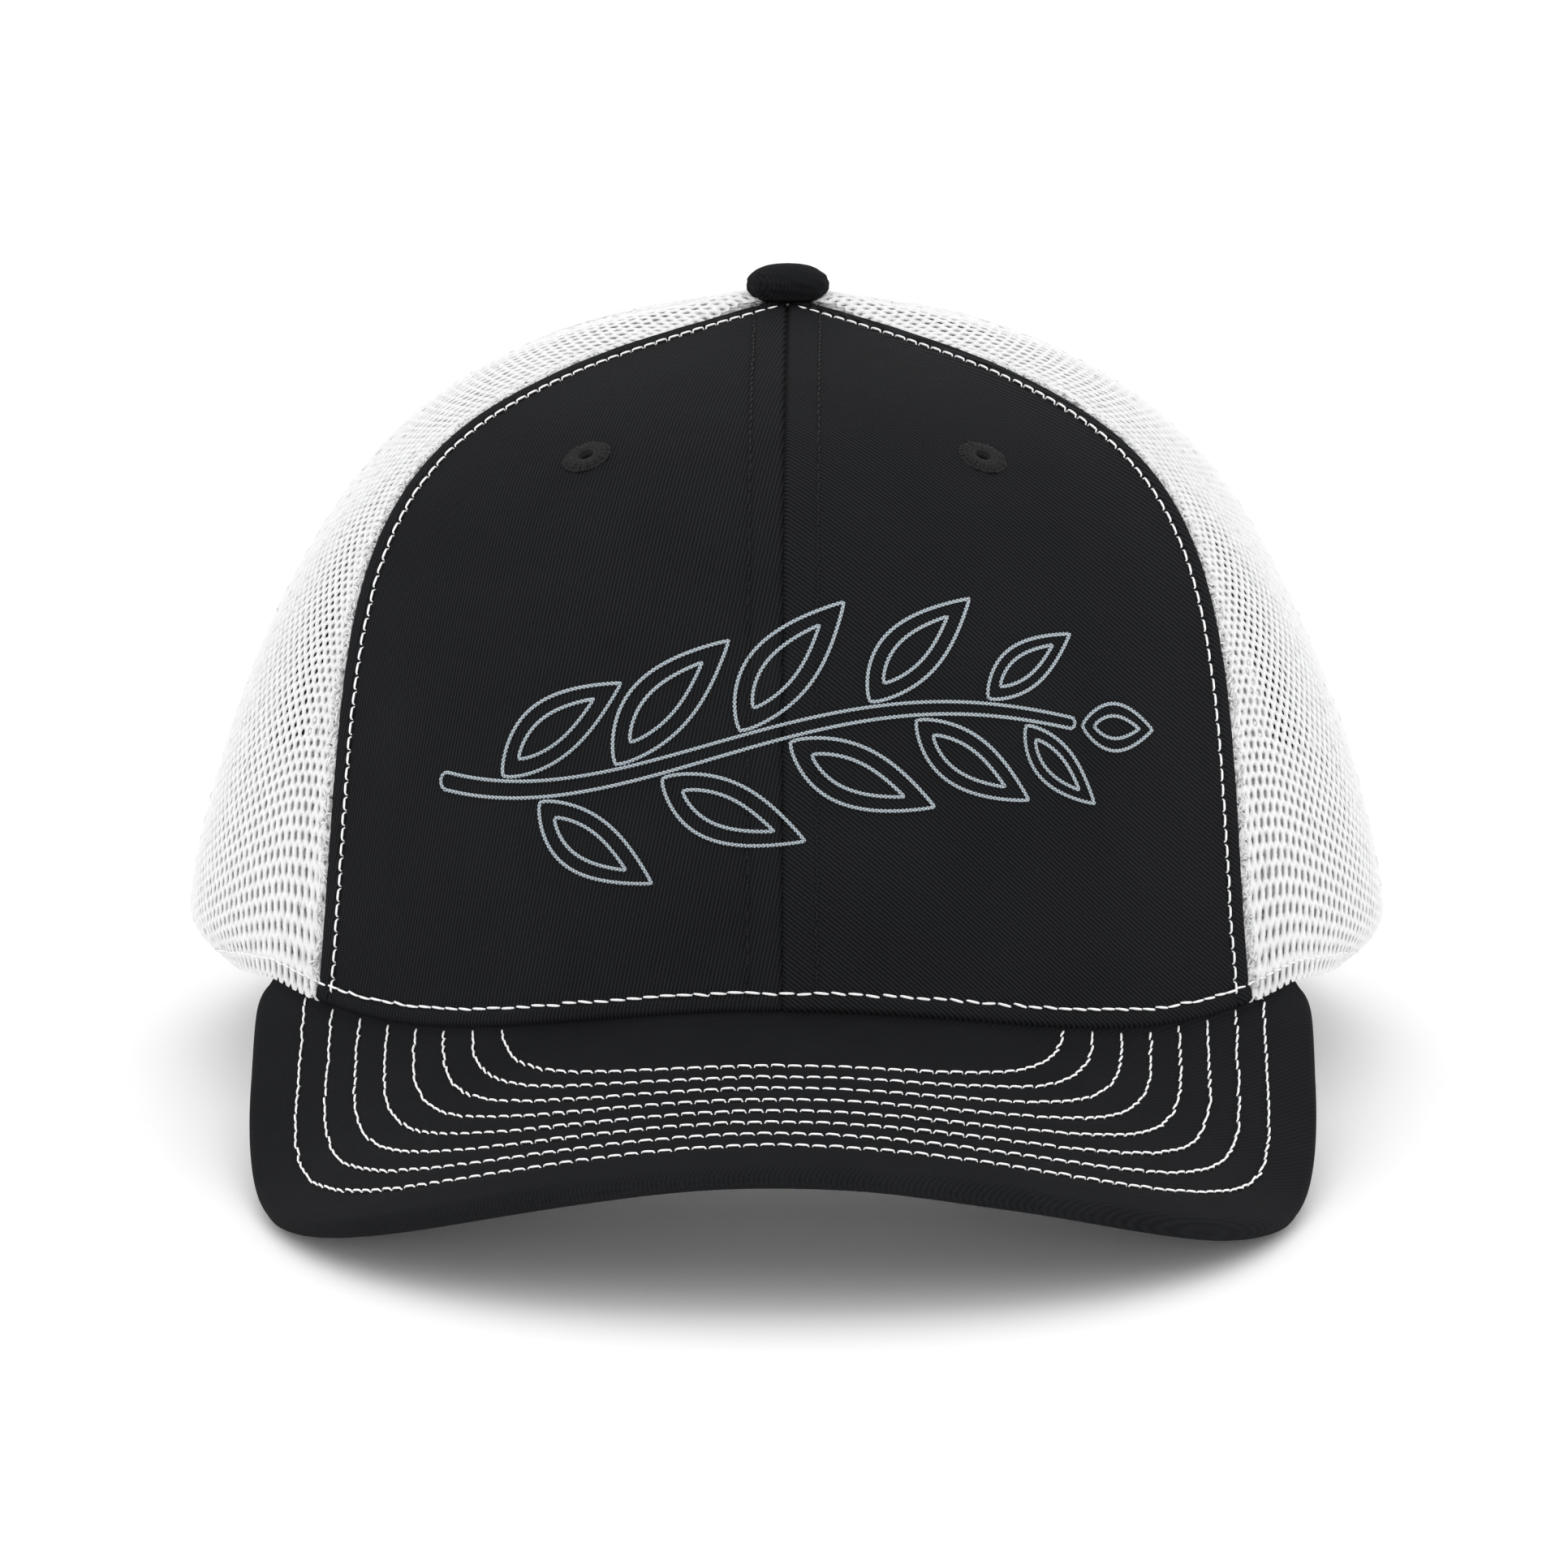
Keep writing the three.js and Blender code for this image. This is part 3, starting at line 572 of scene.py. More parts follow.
# %% Threads
def thread(name, dark, light, twist=0.7, depth=0.00006, roughness=0.6, **fixed):
    look, shader, start, u, v = material(name, roughness, **fixed)
    stripe = stripes(u * (1 / twist) + v)
    fuzz = noise(start, 4000, 2)
    colour_and_relief(start, shader, stripe * 0.6 + fuzz * 0.4, dark, light, stripe * 0.7 + fuzz * 0.4, depth)
    return look


white_thread = thread("white_thread", (0.93, 0.935, 0.94), (1.0, 1.0, 1.0), depth=0.00003)
black_thread = thread("black_thread", (0.003, 0.0032, 0.0036), (0.016, 0.0165, 0.018), roughness=0.65,
                      Specular_IOR_Level=0.16)
# The silver thread's stripes run from near-black to pale silver: partly the twist of its plies, partly painted glint
# and painted shade.
silver_thread_painted_glint = thread("silver_thread_painted_glint", (0.07, 0.085, 0.095), (0.66, 0.75, 0.81), 0.42, roughness=0.4,
                       Specular_IOR_Level=0.5)
print(len(bpy.data.materials), "materials")

# %% [markdown]
# ## Plastic and steel
# The snap straps are moulded in soft white plastic, the visor board in a stiffer one, and the button's shell and
# washer are pressed steel. Even a plain moulding isn't the same all over: its colour is faintly cloudy, and a fine
# grain shows where it shines. The grain therefore feeds the roughness and the relief as well as the colour.

# %% Moulded and pressed
def moulded(name, dark, light, smoothest, roughest, grain, **fixed):
    look, shader, start, _, _ = material(name, smoothest, **fixed)
    cloud, fine = noise(start, 90, 3), noise(start, grain, 4)
    put(start.tree, shader.inputs["Roughness"], fine * (roughest - smoothest) + smoothest)
    colour_and_relief(start, shader, cloud * 0.7 + fine * 0.3, dark, light, fine, 0.00004, 0.4)
    return look


snap_plastic = moulded("snap_plastic", (0.80, 0.80, 0.78), (0.90, 0.90, 0.88), 0.28, 0.42, 700,
                       Specular_IOR_Level=0.45, Subsurface_Weight=0.25, Subsurface_Radius=(0.004, 0.004, 0.004))
board_plastic = moulded("board_plastic", (0.62, 0.62, 0.60), (0.74, 0.74, 0.72), 0.38, 0.55, 400)
button_steel = moulded("button_steel", (0.42, 0.42, 0.41), (0.66, 0.66, 0.65), 0.25, 0.5, 900, Metallic=1.0)
print(len(bpy.data.materials), "materials")

# %% [markdown]
# ## Front panels
# Each panel is twill glued to a stiff backing and turned under along its edges, so that the cloth swells into a fold
# beside every seam and sinks under every row of stitches. A cloth simulation could find such folds, but a stiffened
# panel hardly moves and would only wander from its seams. The folds are added to the dome instead, by their
# distances from the centre seam, the side seam and the rim. The seam to the mesh wanders a little, as cut cloth does.

# %% Folds, grooves and puckers
pucker, edge_wander, drape = Ripple(5.5, seed=3), Ripple(2.6, seed=4), Ripple(48, seed=5)
SIDE_STITCH, CENTRE_STITCH, RIM_STITCH = 3.4, 5.2, 3.0  # distances from the seams and the rim
EDGE_OVERLAP = 0.35  # how far a panel laps over the mesh
FOLD_FALL = 0.9  # the width over which a fold falls to the stitches beside it


def fold(d, start, rise, end):
    """1 between two distances: it rises softly after the start and falls softly after the end."""
    return smooth((d - start) / rise) * (1 - smooth((d - end) / FOLD_FALL))


def rounded(d, width):
    """How much of an edge's rounding is left at a distance from it."""
    return np.clip(1 - d / width, 0, 1) ** 2


def front_lift(centre, side, low, along):
    """How far the front skin stands out, from its distances to the centre seam, side seam and rim."""
    folds = (0.42 * fold(side, -0.3, 0.9, SIDE_STITCH - 0.7) + 0.45 * fold(low, 0, 0.8, RIM_STITCH - 0.9)
             + 0.16 * fold(centre, -1, 1, CENTRE_STITCH - 0.6))
    edges = 1.1 * rounded(side + EDGE_OVERLAP, 0.55) + 1.0 * rounded(low, 0.7) + 0.8 * bell(centre, 0, 0.4)
    grooves = (0.22 * bell(side, SIDE_STITCH, 0.45) + 0.14 * bell(centre, CENTRE_STITCH, 0.4)
               + 0.22 * bell(low, RIM_STITCH, 0.45))
    near_stitches = bell(side, SIDE_STITCH, 3.2) + 0.8 * bell(low, RIM_STITCH, 3.0)
    return folds - edges - grooves + 0.055 * pucker(along) * near_stitches


def height_above_rim(theta, t):
    """Rough distance along the cloth from the rim."""
    return np.linalg.norm(outer_point(theta, t) - outer_point(theta, np.zeros_like(t)), axis=-1)


print("beside the side seam the cloth stands out", round(float(front_lift(60, 2, 60, 0.0)), 2), "mm")

# %% One panel
EYELET_ANGLE, EYELET_ALONG, EYELET_HOLE = math.radians(26.5), 0.655, 0.85
PANEL_ROWS, PANEL_COLUMNS = 230, 170


def front_panel(side, name):
    t = (np.linspace(0, 1, PANEL_ROWS) ** 1.12 * SEAM_TOP)[:, None]  # the rows lie closer together near the rim
    seam = front_seam(t)
    reach = seam + (EDGE_OVERLAP + 0.22 * edge_wander(t * 130)) / spread(seam, t)
    theta = np.linspace(0, 1, PANEL_COLUMNS)[None] * reach
    width = spread(theta, t)
    centre, to_side, low = theta * width, (seam - theta) * width, height_above_rim(theta, t)
    lift = front_lift(centre, to_side, low, np.where(low < 5, theta * 97, low))
    lift = lift + 0.12 * drape(theta * width * side, low)
    points = crown(side * theta, np.broadcast_to(t, theta.shape), lift)[0].reshape(-1, 3)
    faces = grid_faces(PANEL_ROWS, PANEL_COLUMNS, flip=side < 0)
    eyelet_middle = outer_point(side * EYELET_ANGLE, EYELET_ALONG)
    in_hole = np.linalg.norm(points - eyelet_middle, axis=-1) < EYELET_HOLE
    cloth_map = np.stack([side * centre, low], -1).reshape(-1, 2)
    return mesh_piece(name, points, faces[~in_hole[faces].any(-1)], cloth_map)


print("a panel is a grid of", PANEL_ROWS, "by", PANEL_COLUMNS, "points")

# %% Both panels, and the backing inside them
BACKING_ROWS, BACKING_COLUMNS, BACKING_DEPTH = 60, 40, 1.5

for name, side, cloth in (("left", -1, twill_left), ("right", 1, twill_right)):
    panel = front_panel(side, "twill_panel_" + name)
    finish_piece(panel, cloth, nodes=("front_panel_" + name,))
    shares = np.linspace(0.035, SEAM_TOP, BACKING_ROWS)[:, None]
    theta = side * np.linspace(0, 1, BACKING_COLUMNS)[None] * front_seam(shares)
    points, _ = crown(theta, np.broadcast_to(shares, theta.shape), np.full(theta.shape, -BACKING_DEPTH))
    flat_map = pairs(np.linspace(0, 80, BACKING_COLUMNS)[None], np.linspace(0, 120, BACKING_ROWS)[:, None])
    lining = grid_piece("lining_" + name, points, flat_map, flip=side > 0)
    finish_piece(lining, backing, nodes=("buckram_" + name,))
    print(name, "panel:", len(panel.data.polygons), "faces")

# %% [markdown]
# ## Knitted mesh
# The mesh is warp knit: staggered oval holes, with yarn crossing between them. A flat sheet with an alpha pattern
# would be cheap, but its holes would have no thickness when seen from the side. So each hole is real. Twelve points
# stand round it, the yarn swells from there to a crest that it shares with the next cell, and front and back together
# make a closed ring. The cells are laid out flat in millimetres, so that they stay one size, and are then wrapped on
# to the gore. Along the seams a second layer lies behind, where the real mesh is folded in.

# %% A flat lattice of cells
HOLE_PITCH, ROW_PITCH = 2.05, 1.68
HOLE_WIDE, HOLE_TALL = 0.35, 0.44  # half sizes of a hole
KNIT_THICK = 0.5
RING = 12  # points round a hole


def lattice(width, height, shift=(0.0, 0.0)):
    rows = int(height / ROW_PITCH) + 2
    columns = int(width / HOLE_PITCH) + 3
    j, i = np.meshgrid(np.arange(-1, rows), np.arange(-columns // 2, columns // 2 + 2), indexing="ij")
    x = (i + 0.5 * (j % 2)) * HOLE_PITCH + shift[0]
    y = (j + 0.5) * ROW_PITCH + shift[1]
    return np.stack([x.ravel(), y.ravel()], -1)


def cell_outline():
    """The twelve points round a lattice cell: six corners of a hexagon and the middles of its sides."""
    third = ROW_PITCH / 2 + HOLE_PITCH**2 / (8 * ROW_PITCH)
    rise = ROW_PITCH - third
    corners = np.array([(HOLE_PITCH / 2, rise), (0, third), (-HOLE_PITCH / 2, rise),
                        (-HOLE_PITCH / 2, -rise), (0, -third), (HOLE_PITCH / 2, -rise)])
    middles = (corners + np.roll(corners, -1, axis=0)) / 2
    return np.stack([corners, middles], 1).reshape(-1, 2)


CELL = cell_outline()
CELL_ANGLES = np.arctan2(CELL[:, 1], CELL[:, 0])
print("a cell is", HOLE_PITCH, "mm wide, and its rows are", ROW_PITCH, "mm apart")

# %% Knitted cells
def after(ring):
    """The next point round each ring."""
    return np.roll(ring, -1, axis=1)


def knit(centres, place, openness, seed):
    """Knitted cells at flat centres. place(x, y, lift) gives crown points; openness scales each hole."""
    draw = np.random.default_rng(seed)
    n = len(centres)
    size = openness[:, None] * draw.uniform(0.86, 1.12, (n, 1))
    lean = 0.22 + draw.normal(0, 0.1, (n, 1))
    ring_x = HOLE_WIDE * size * np.cos(CELL_ANGLES) * draw.uniform(0.9, 1.1, (n, RING))
    ring_y = HOLE_TALL * size * np.sin(CELL_ANGLES) * draw.uniform(0.9, 1.1, (n, RING))
    hole = centres[:, None] + np.stack([ring_x + lean * ring_y, ring_y], -1)
    rim = centres[:, None] + CELL[None]
    key = np.round(rim / 0.02).astype(np.int64)
    _, first, shared = np.unique(key.reshape(-1, 2), axis=0, return_index=True, return_inverse=True)
    rim_points = rim.reshape(-1, 2)[first]
    crest = KNIT_THICK / 2 * draw.uniform(0.75, 1.2, len(rim_points))
    hole_points = hole.reshape(-1, 2)
    m = len(rim_points)
    flat = np.concatenate([rim_points, rim_points, hole_points])
    lift = np.concatenate([crest, -crest, draw.normal(0, 0.03, len(hole_points))]) - KNIT_THICK / 2
    points = place(flat[:, 0], flat[:, 1], lift)
    shared = shared.reshape(n, RING)
    waist = 2 * m + np.arange(n * RING).reshape(n, RING)
    front = np.stack([shared, after(shared), after(waist), waist], -1).reshape(-1, 4)
    back = np.stack([shared + m, waist, after(waist), after(shared) + m], -1).reshape(-1, 4)
    return points, np.concatenate([front, back]), flat


print("every cell has", 2 * RING, "faces")

# %% [markdown]
# ## Gores of mesh
# Two gores on each side are sewn together from the lattice. A gore's middle line runs up the dome between its two
# seams. Distances up that line and across from it say where a flat cell goes. The holes close up towards the seams,
# where the knit is pulled tight, and the back gores leave out the cells that lie in the rear arch.

# %% The rear arch's outline
ARCH_HALF_WIDTH, ARCH_SIDE, ARCH_RISE = 39.0, 14.0, 34.0
ARCH_STRAIGHT = 0.22  # the share of the outline that its straight sides take up


def arch_outline(along, outside=0.0):
    half_width, rise = ARCH_HALF_WIDTH + outside, ARCH_RISE + outside
    a = np.abs(along)
    angle = np.clip(a / (1 - ARCH_STRAIGHT), 0, 1) * math.pi / 2
    on_side = a > 1 - ARCH_STRAIGHT
    x = np.where(on_side, half_width, half_width * np.sin(angle))
    z = np.where(on_side, ARCH_SIDE * (1 - a) / ARCH_STRAIGHT, ARCH_SIDE + rise * np.cos(angle))
    return np.sign(along) * x, z


def inside_arch(x, z, outside):
    half_width, rise = ARCH_HALF_WIDTH + outside, ARCH_RISE + outside
    above = np.clip((z - ARCH_SIDE) / rise, 0, 1)
    return (np.abs(x) < half_width * np.sqrt(1 - above**2)) & (z < ARCH_SIDE + rise)


print("the arch is", 2 * ARCH_HALF_WIDTH, "mm wide and", ARCH_SIDE + ARCH_RISE, "mm high")

# %% One gore
BAND_HEIGHT = 31.0  # the sweatband holds the knit flat up to here
GATHER_RISE = 1.2  # the knit puffs up round the button
LAYER_SHIFT, LAYER_GAP, LAYER_REACH = (0.8, 0.7), 0.75, 7.5  # the second layer, and how far it reaches from a seam


def gore_mesh(name, side, seam_a, seam_b, seed, arched=False):
    """A mesh gore between two seams, with a folded-in layer along both of them."""
    samples = np.linspace(0, SEAM_TOP, 400)
    middle = (seam_a(samples) + seam_b(samples)) / 2
    length = lengths_along(outer_point(middle, samples))
    around = spread(middle, samples)
    half = (seam_b(samples) - seam_a(samples)) / 2 * around

    def place(x, y, lift):
        y = np.clip(y, 0, length[-1])
        t = np.interp(y, length, samples)
        limit = np.interp(y, length, half)
        radius = np.interp(y, length, around)
        x = np.clip(x, -limit, limit)
        near = limit - np.abs(x)
        theta = np.interp(y, length, middle) + x / radius
        pulled = 0.25 * bell(near, 2.2, 1.2) - 0.5 * bell(near, 0, 0.7) - 0.06 * bell(y, RIM_STITCH, 0.6)
        wave = 0.18 * drape(x, y + 31 * seed) * smooth((y - BAND_HEIGHT + 4) / 12)
        gathered = GATHER_RISE * bell(radius, 8, 6)
        return crown(side * theta, t, lift + pulled * smooth(limit / 12) + wave + gathered)[0]

    def usable(centres, slack):
        y = centres[:, 1]
        limit = np.interp(y, length, half)
        keep = (y > -0.4) & (y < length[-1]) & (np.abs(centres[:, 0]) < limit + slack)
        if arched:
            t = np.interp(np.clip(y, 0, None), length, samples)
            theta = np.interp(y, length, middle) + centres[:, 0] / np.interp(y, length, around)
            p = outer_point(theta, t)
            keep &= ~inside_arch(p[:, 0], p[:, 2], 1.5)
        return centres[keep], limit[keep]

    reach = (2 * half.max() + 6, length[-1])
    centres, limit = usable(lattice(*reach), 0.5)
    folded = 3.8 + 0.6 * edge_wander(centres[:, 1] * 0.7)
    openness = 0.25 + 0.75 * smooth((limit - np.abs(centres[:, 0]) - folded) / 2.0)
    openness = openness * (0.55 + 0.45 * smooth((centres[:, 1] - 2) / 5))
    points, faces, uv = knit(centres, place, openness, seed)
    second, limit = usable(lattice(*reach, LAYER_SHIFT), 0.5)
    second = second[limit - np.abs(second[:, 0]) < LAYER_REACH]
    under = knit(second, lambda x, y, lift: place(x, y, lift - LAYER_GAP), np.full(len(second), 0.8), seed + 50)
    faces = np.concatenate([faces, under[1] + len(points)])
    if side < 0:
        faces = faces[:, ::-1]
    print(name, len(centres) + len(second), "holes,", len(faces), "quads")
    return mesh_piece(name, np.concatenate([points, under[0]]), faces, np.concatenate([uv, under[2]]))


print("the second layer reaches", LAYER_REACH, "mm from each seam")

# %% The four gores
for name, side in (("left", -1), ("right", 1)):
    piece = gore_mesh("side_knit_" + name, side, front_seam, rear_seam, 11 + side)
    finish_piece(piece, mesh_knit, nodes=("side_mesh_" + name,))
    piece = gore_mesh("back_knit_" + name, side, rear_seam, back_seam, 21 + side, arched=True)
    finish_piece(piece, mesh_knit, nodes=("back_mesh_" + name,))

# %% [markdown]
# ## Cut yarn along the front seams
# Knit frays where it is cut and folded in beside the black panels: short ends and loops of yarn stand up along the
# fold. Hair particles could be scattered there, but a few hundred short tubes do it with full control of how far
# each one strays. Their places, lengths and headings are drawn at random from a fixed seed.

# %% Frayed ends
SEAM_LENGTH = 150.0  # rough, to turn millimetres up the seam into shares
YARN_ENDS = 420  # along each seam


def frayed_ends(side, count, seed):
    """Short bowed lengths of yarn at random places and headings along the fold beside a front seam."""
    draw = np.random.default_rng(seed)
    paths, normals, radii = [], [], []
    share = np.linspace(-0.5, 0.5, 7)
    arc = 1 - 4 * share**2  # 0 at both ends of the yarn and 1 in its middle
    for low in draw.uniform(0.015, 0.86, count):
        heading = draw.uniform(0.15, math.pi - 0.15)
        length, bow = draw.uniform(0.9, 2.4), draw.uniform(-0.6, 0.6)
        out = draw.uniform(0.25, 1.9)
        across = out + length * share * math.cos(heading) - bow * arc * math.sin(heading)
        up = length * share * math.sin(heading) + bow * arc * math.cos(heading)
        t = np.clip(low + up / SEAM_LENGTH, 0.005, SEAM_TOP)
        theta = front_seam(t) + np.maximum(across, -0.1) / spread(front_seam(t), t)
        points, normal = crown(side * theta, t, draw.uniform(-0.15, 0.2) + draw.uniform(0.1, 0.4) * arc)
        paths.append(points)
        normals.append(normal)
        radii.append(draw.uniform(0.1, 0.16))
    return paths, normals, radii


both_seams = [frayed_ends(side, YARN_ENDS, 200 + side) for side in (-1, 1)]
frayed = mesh_piece("frayed_mesh_ends", *tubes(*(left + right for left, right in zip(*both_seams)), 5))
finish_piece(frayed, mesh_knit)
print(2 * YARN_ENDS, "loose ends of yarn")

# %% [markdown]
# ## Rows of stitches on the crown
# Topstitching holds down the edges of the panels: white on black beside the mesh and above the rim, black on black
# on each side of the centre seam, white on white beside the mesh seams. Each row is given as a line of angles and
# shares, a set distance from a seam or from the rim, so that it keeps to the groove that was made for it.

# %% Lines to sew along
def beside(seam, distance, side, low=0.012, end=5.0):
    """A line up the crown at a distance from a seam, towards the front if the distance is negative. It ends
    where it comes within a distance of the middle of the crown."""
    t = np.linspace(low, SEAM_TOP, 600)
    around = spread(seam(t), t)
    keep = around > end
    theta = seam(t) + np.arcsin(np.clip(distance / around, -0.95, 0.95))
    return np.stack([side * theta, t], -1)[keep]


def above_rim(start, stop, height):
    """A line round the crown at a height above its rim."""
    theta = np.linspace(start, stop, 400)
    t = np.linspace(0, 0.2, 80)
    heights = np.array([height_above_rim(np.full_like(t, a), t) for a in theta[::10]])
    at = np.array([np.interp(height, h, t) for h in heights])
    return np.stack([theta, np.interp(theta, theta[::10], at)], -1)


print("a row beside a seam has", len(beside(front_seam, -SIDE_STITCH, 1)), "places")

# %% Sew the rows
SEAM_PAST_RIM_ROW = FRONT_SEAM + 0.3 / HALF_WIDTH
ARCH_TOP_SHARE = 0.34  # the way up at which the rear arch's binding ends
REAR_ROW, BACK_ROW = 3, 3  # distances from the rear seams and from the back seam
REAR_STOP = math.pi - 0.5  # where the row above the rim ends beside the arch

side_rows = [stitch_row(beside(front_seam, -SIDE_STITCH, side), crown, 2.35, 0.19, 0.08, 0.05, 0.07, 30 + side)
             for side in (-1, 1)]
front_rim = above_rim(-SEAM_PAST_RIM_ROW, SEAM_PAST_RIM_ROW, RIM_STITCH)
rim_row = stitch_row(front_rim, crown, 2.6, 0.2, 0.12, wander=0.09, seed=40)
stitch_piece("front_stitches", side_rows + [rim_row], white_thread)
centre_rows = [stitch_row(beside(centre_seam, CENTRE_STITCH, side), crown, 2.3, 0.15, 0.0, seed=50 + side)
               for side in (-1, 1)]
stitch_piece("centre_stitches", centre_rows, black_thread)
mesh_rows = []
for side in (-1, 1):
    for distance in (-REAR_ROW, REAR_ROW):
        line = beside(rear_seam, distance, side)
        mesh_rows.append(stitch_row(line, crown, 2.4, 0.16, 0.1, seed=60 + distance))
    line = beside(back_seam, -BACK_ROW, side, ARCH_TOP_SHARE, 7.0)
    mesh_rows.append(stitch_row(line, crown, 2.4, 0.2, 0.15, seed=70 + side))
    line = above_rim(*sorted((side * SEAM_PAST_RIM_ROW, side * REAR_STOP)), RIM_STITCH)
    mesh_rows.append(stitch_row(line, crown, 2.4, 0.15, 0.0, seed=80 + side))
stitch_piece("mesh_stitches", mesh_rows, white_thread, sides=5)
print(len(side_rows) + 1 + len(centre_rows) + len(mesh_rows), "rows sewn on the crown")

# %% [markdown]
# ## Eyelets
# An eyelet is a small air hole in each front panel, whipped round with thread. A torus would look moulded, so the
# thread is laid stitch by stitch, like spokes from the hole to a slightly ragged outer edge. Each spoke comes up out
# of the hole and thickens outwards. A dished piece of cloth under them is the bottom of the hole, coloured near-black
# as painted shade.

# %% Threads round a hole
EYELET_RADIUS, SPOKES = 4.0, 52
EYELET_GROUND = [(0.02, -1.35), (0.7, -1.35), (0.85, -0.4), (1.15, 0.12), (3.5, 0.1), (3.9, -0.1)]  # radius, height


def eyelet_place(side):
    """The middle of an eyelet, and the outward direction there."""
    places, normals = crown(np.array([side * EYELET_ANGLE]), np.array([EYELET_ALONG]))
    return places[0], normals[0]


def eyelet(side, name, seed):
    centre, normal = eyelet_place(side)
    aside = unit(np.cross((0, 0, 1.0), normal))
    upward = np.cross(normal, aside)
    draw = np.random.default_rng(seed)
    share = np.linspace(0, 1, 9)
    arch = 0.32 * np.sin(math.pi * share) ** 0.5 - 0.15 + 0.25 * (1 - share)
    arch = np.where(share == 0, -0.7, arch)  # the first point lies inside the hole
    paths = []
    for k in range(SPOKES):
        angle = (k + draw.normal(0, 0.12)) / SPOKES * 2 * math.pi
        outer = EYELET_RADIUS * (0.93 + draw.uniform(-0.07, 0.07))
        r = EYELET_HOLE + (outer - EYELET_HOLE) * share
        swirl = angle + draw.normal(0, 0.03) * share
        paths.append(centre + r[:, None] * (np.cos(swirl)[:, None] * aside + np.sin(swirl)[:, None] * upward)
                     + arch[:, None] * normal)
    normals = [np.broadcast_to(normal, path.shape) for path in paths]
    radii = [0.2 * (0.55 + 0.75 * share)] * SPOKES
    piece = mesh_piece(name + "_work", *tubes(paths, normals, radii))
    return finish_piece(piece, black_thread, nodes=(name,))


def eyelet_ground(side, name):
    """The hole in the middle of an eyelet and the cloth under its threads, near-black with painted shade."""
    points = turned(EYELET_GROUND, *eyelet_place(side), 40)
    piece = grid_piece(name, points, np.zeros((*points.shape[:2], 2)))
    return finish_piece(piece, shaded_cloth)


for name, side in (("left", -1), ("right", 1)):
    eyelet(side, "eyelet_" + name, 90 + side)
    eyelet_ground(side, "eyelet_ground_" + name)
print("2 eyelets of", SPOKES, "threads")

# %% [markdown]
# ## Button
# The button on top is a metal shell covered in twill that is gathered in underneath. A flattened sphere would be
# widest in its middle and perfectly smooth. A profile turned about the crown's axis can have its widest ring where
# the real one has it, and its radius can then be varied round the axis to draw the gathers in its lower half.

# %% A covered button
BUTTON_BASE = CROWN_HEIGHT + 0.3
BUTTON_PROFILE = [(0.01, 5.5), (1.8, 5.42), (3.4, 5.15), (4.8, 4.6), (5.9, 3.8), (6.5, 2.9), (6.62, 2.1),
                  (6.45, 1.4), (6.05, 0.8), (5.6, 0.2), (5.3, -0.3), (4.4, -0.6), (2.2, -0.9)]  # radius, height
GATHERS = 13
folds = Ripple(1.1, 6, seed=8)


def gathers(angles, profile):
    """How much wider or narrower the button is at each height and angle."""
    low = np.clip((3.0 - profile[:, 1]) / 3.0, 0, 1)[:, None]
    waves = np.sin(GATHERS * angles + 1.2)[None]
    return 1 + 0.035 * low * waves + 0.012 * folds(angles * 3, profile[:, 1, None])


profile = finer(BUTTON_PROFILE, 60)
profile[1:-1] = (profile[:-2] + 2 * profile[1:-1] + profile[2:]) / 4  # rounds the corners off
points = turned(profile, (0, 0, BUTTON_BASE), (0, 0, 1), 96, gathers)
button = grid_piece("button_cloth", points, points[..., :2])
finish_piece(button, twill_button, nodes=("button_cover",))
print("the button is", round(2 * float(profile[:, 0].max()), 1), "mm wide")

# %% [markdown]
# ## Visor
# A visor is a stiff curved board with one cloth over it and one under it, sewn together round the edge. A flat shape
# could be bent with a Simple Deform modifier, but the rim of the crown has to follow exactly the same bend. So the
# visor's height is the formula that the rim already uses, and only its outline is drawn here: nearly straight sides,
# rounded corners and a front that is a superellipse.

# %% The visor's outline
VISOR_LENGTH, VISOR_HALF_WIDTH, VISOR_REAR_HALF_WIDTH, VISOR_SHOULDER = 62.0, 82.2, 82.4, 2.2
VISOR_CORNER_POWER, VISOR_CORNER_START = 2.4, 73.8
SIDE_SHARE = 0.2  # the share of each half of the outline that its side takes up
visor_end = float(rim_radius(VISOR_ENDS))


def visor_edge(along):
    a = np.abs(along)
    back = visor_end * math.cos(VISOR_ENDS)
    k = np.clip((a - (1 - SIDE_SHARE)) / SIDE_SHARE, 0, 1)
    side_x = VISOR_HALF_WIDTH + (VISOR_REAR_HALF_WIDTH - VISOR_HALF_WIDTH) * k
    side_x = side_x - VISOR_SHOULDER * (1 - np.sqrt(1 - k**6))
    side_ahead = VISOR_CORNER_START + (back - VISOR_CORNER_START) * k
    angle = np.clip(a / (1 - SIDE_SHARE), 0, 1) * math.pi / 2
    power = 2 / VISOR_CORNER_POWER
    ahead = FRONT_LENGTH + VISOR_LENGTH - VISOR_CORNER_START
    straight = a > 1 - SIDE_SHARE
    x = np.where(straight, side_x, VISOR_HALF_WIDTH * np.sin(angle) ** power)
    y = np.where(straight, side_ahead, VISOR_CORNER_START + ahead * np.cos(angle) ** power)
    return np.sign(along) * x, y


print("the visor is", round(2 * float(visor_edge(np.linspace(0, 1, 99))[0].max()), 1), "mm wide")

# %% Points of the visor
VISOR_TUCK = 1.8  # how far the visor reaches in behind the rim


def visor_surface(x, ahead, depth=0.0):
    """A point of the visor at a depth under the surface that the rim follows, and the upward normal there."""
    step = 1e-3
    across = (visor_height(x + step, ahead) - visor_height(x - step, ahead)) / (2 * step)
    forward = (visor_height(x, ahead + step) - visor_height(x, ahead - step)) / (2 * step)
    normal = unit(np.stack([-across, forward, np.ones_like(x)], -1))
    return np.stack([x, -ahead, visor_height(x, ahead)], -1) - normal * np.asarray(depth)[..., None], normal


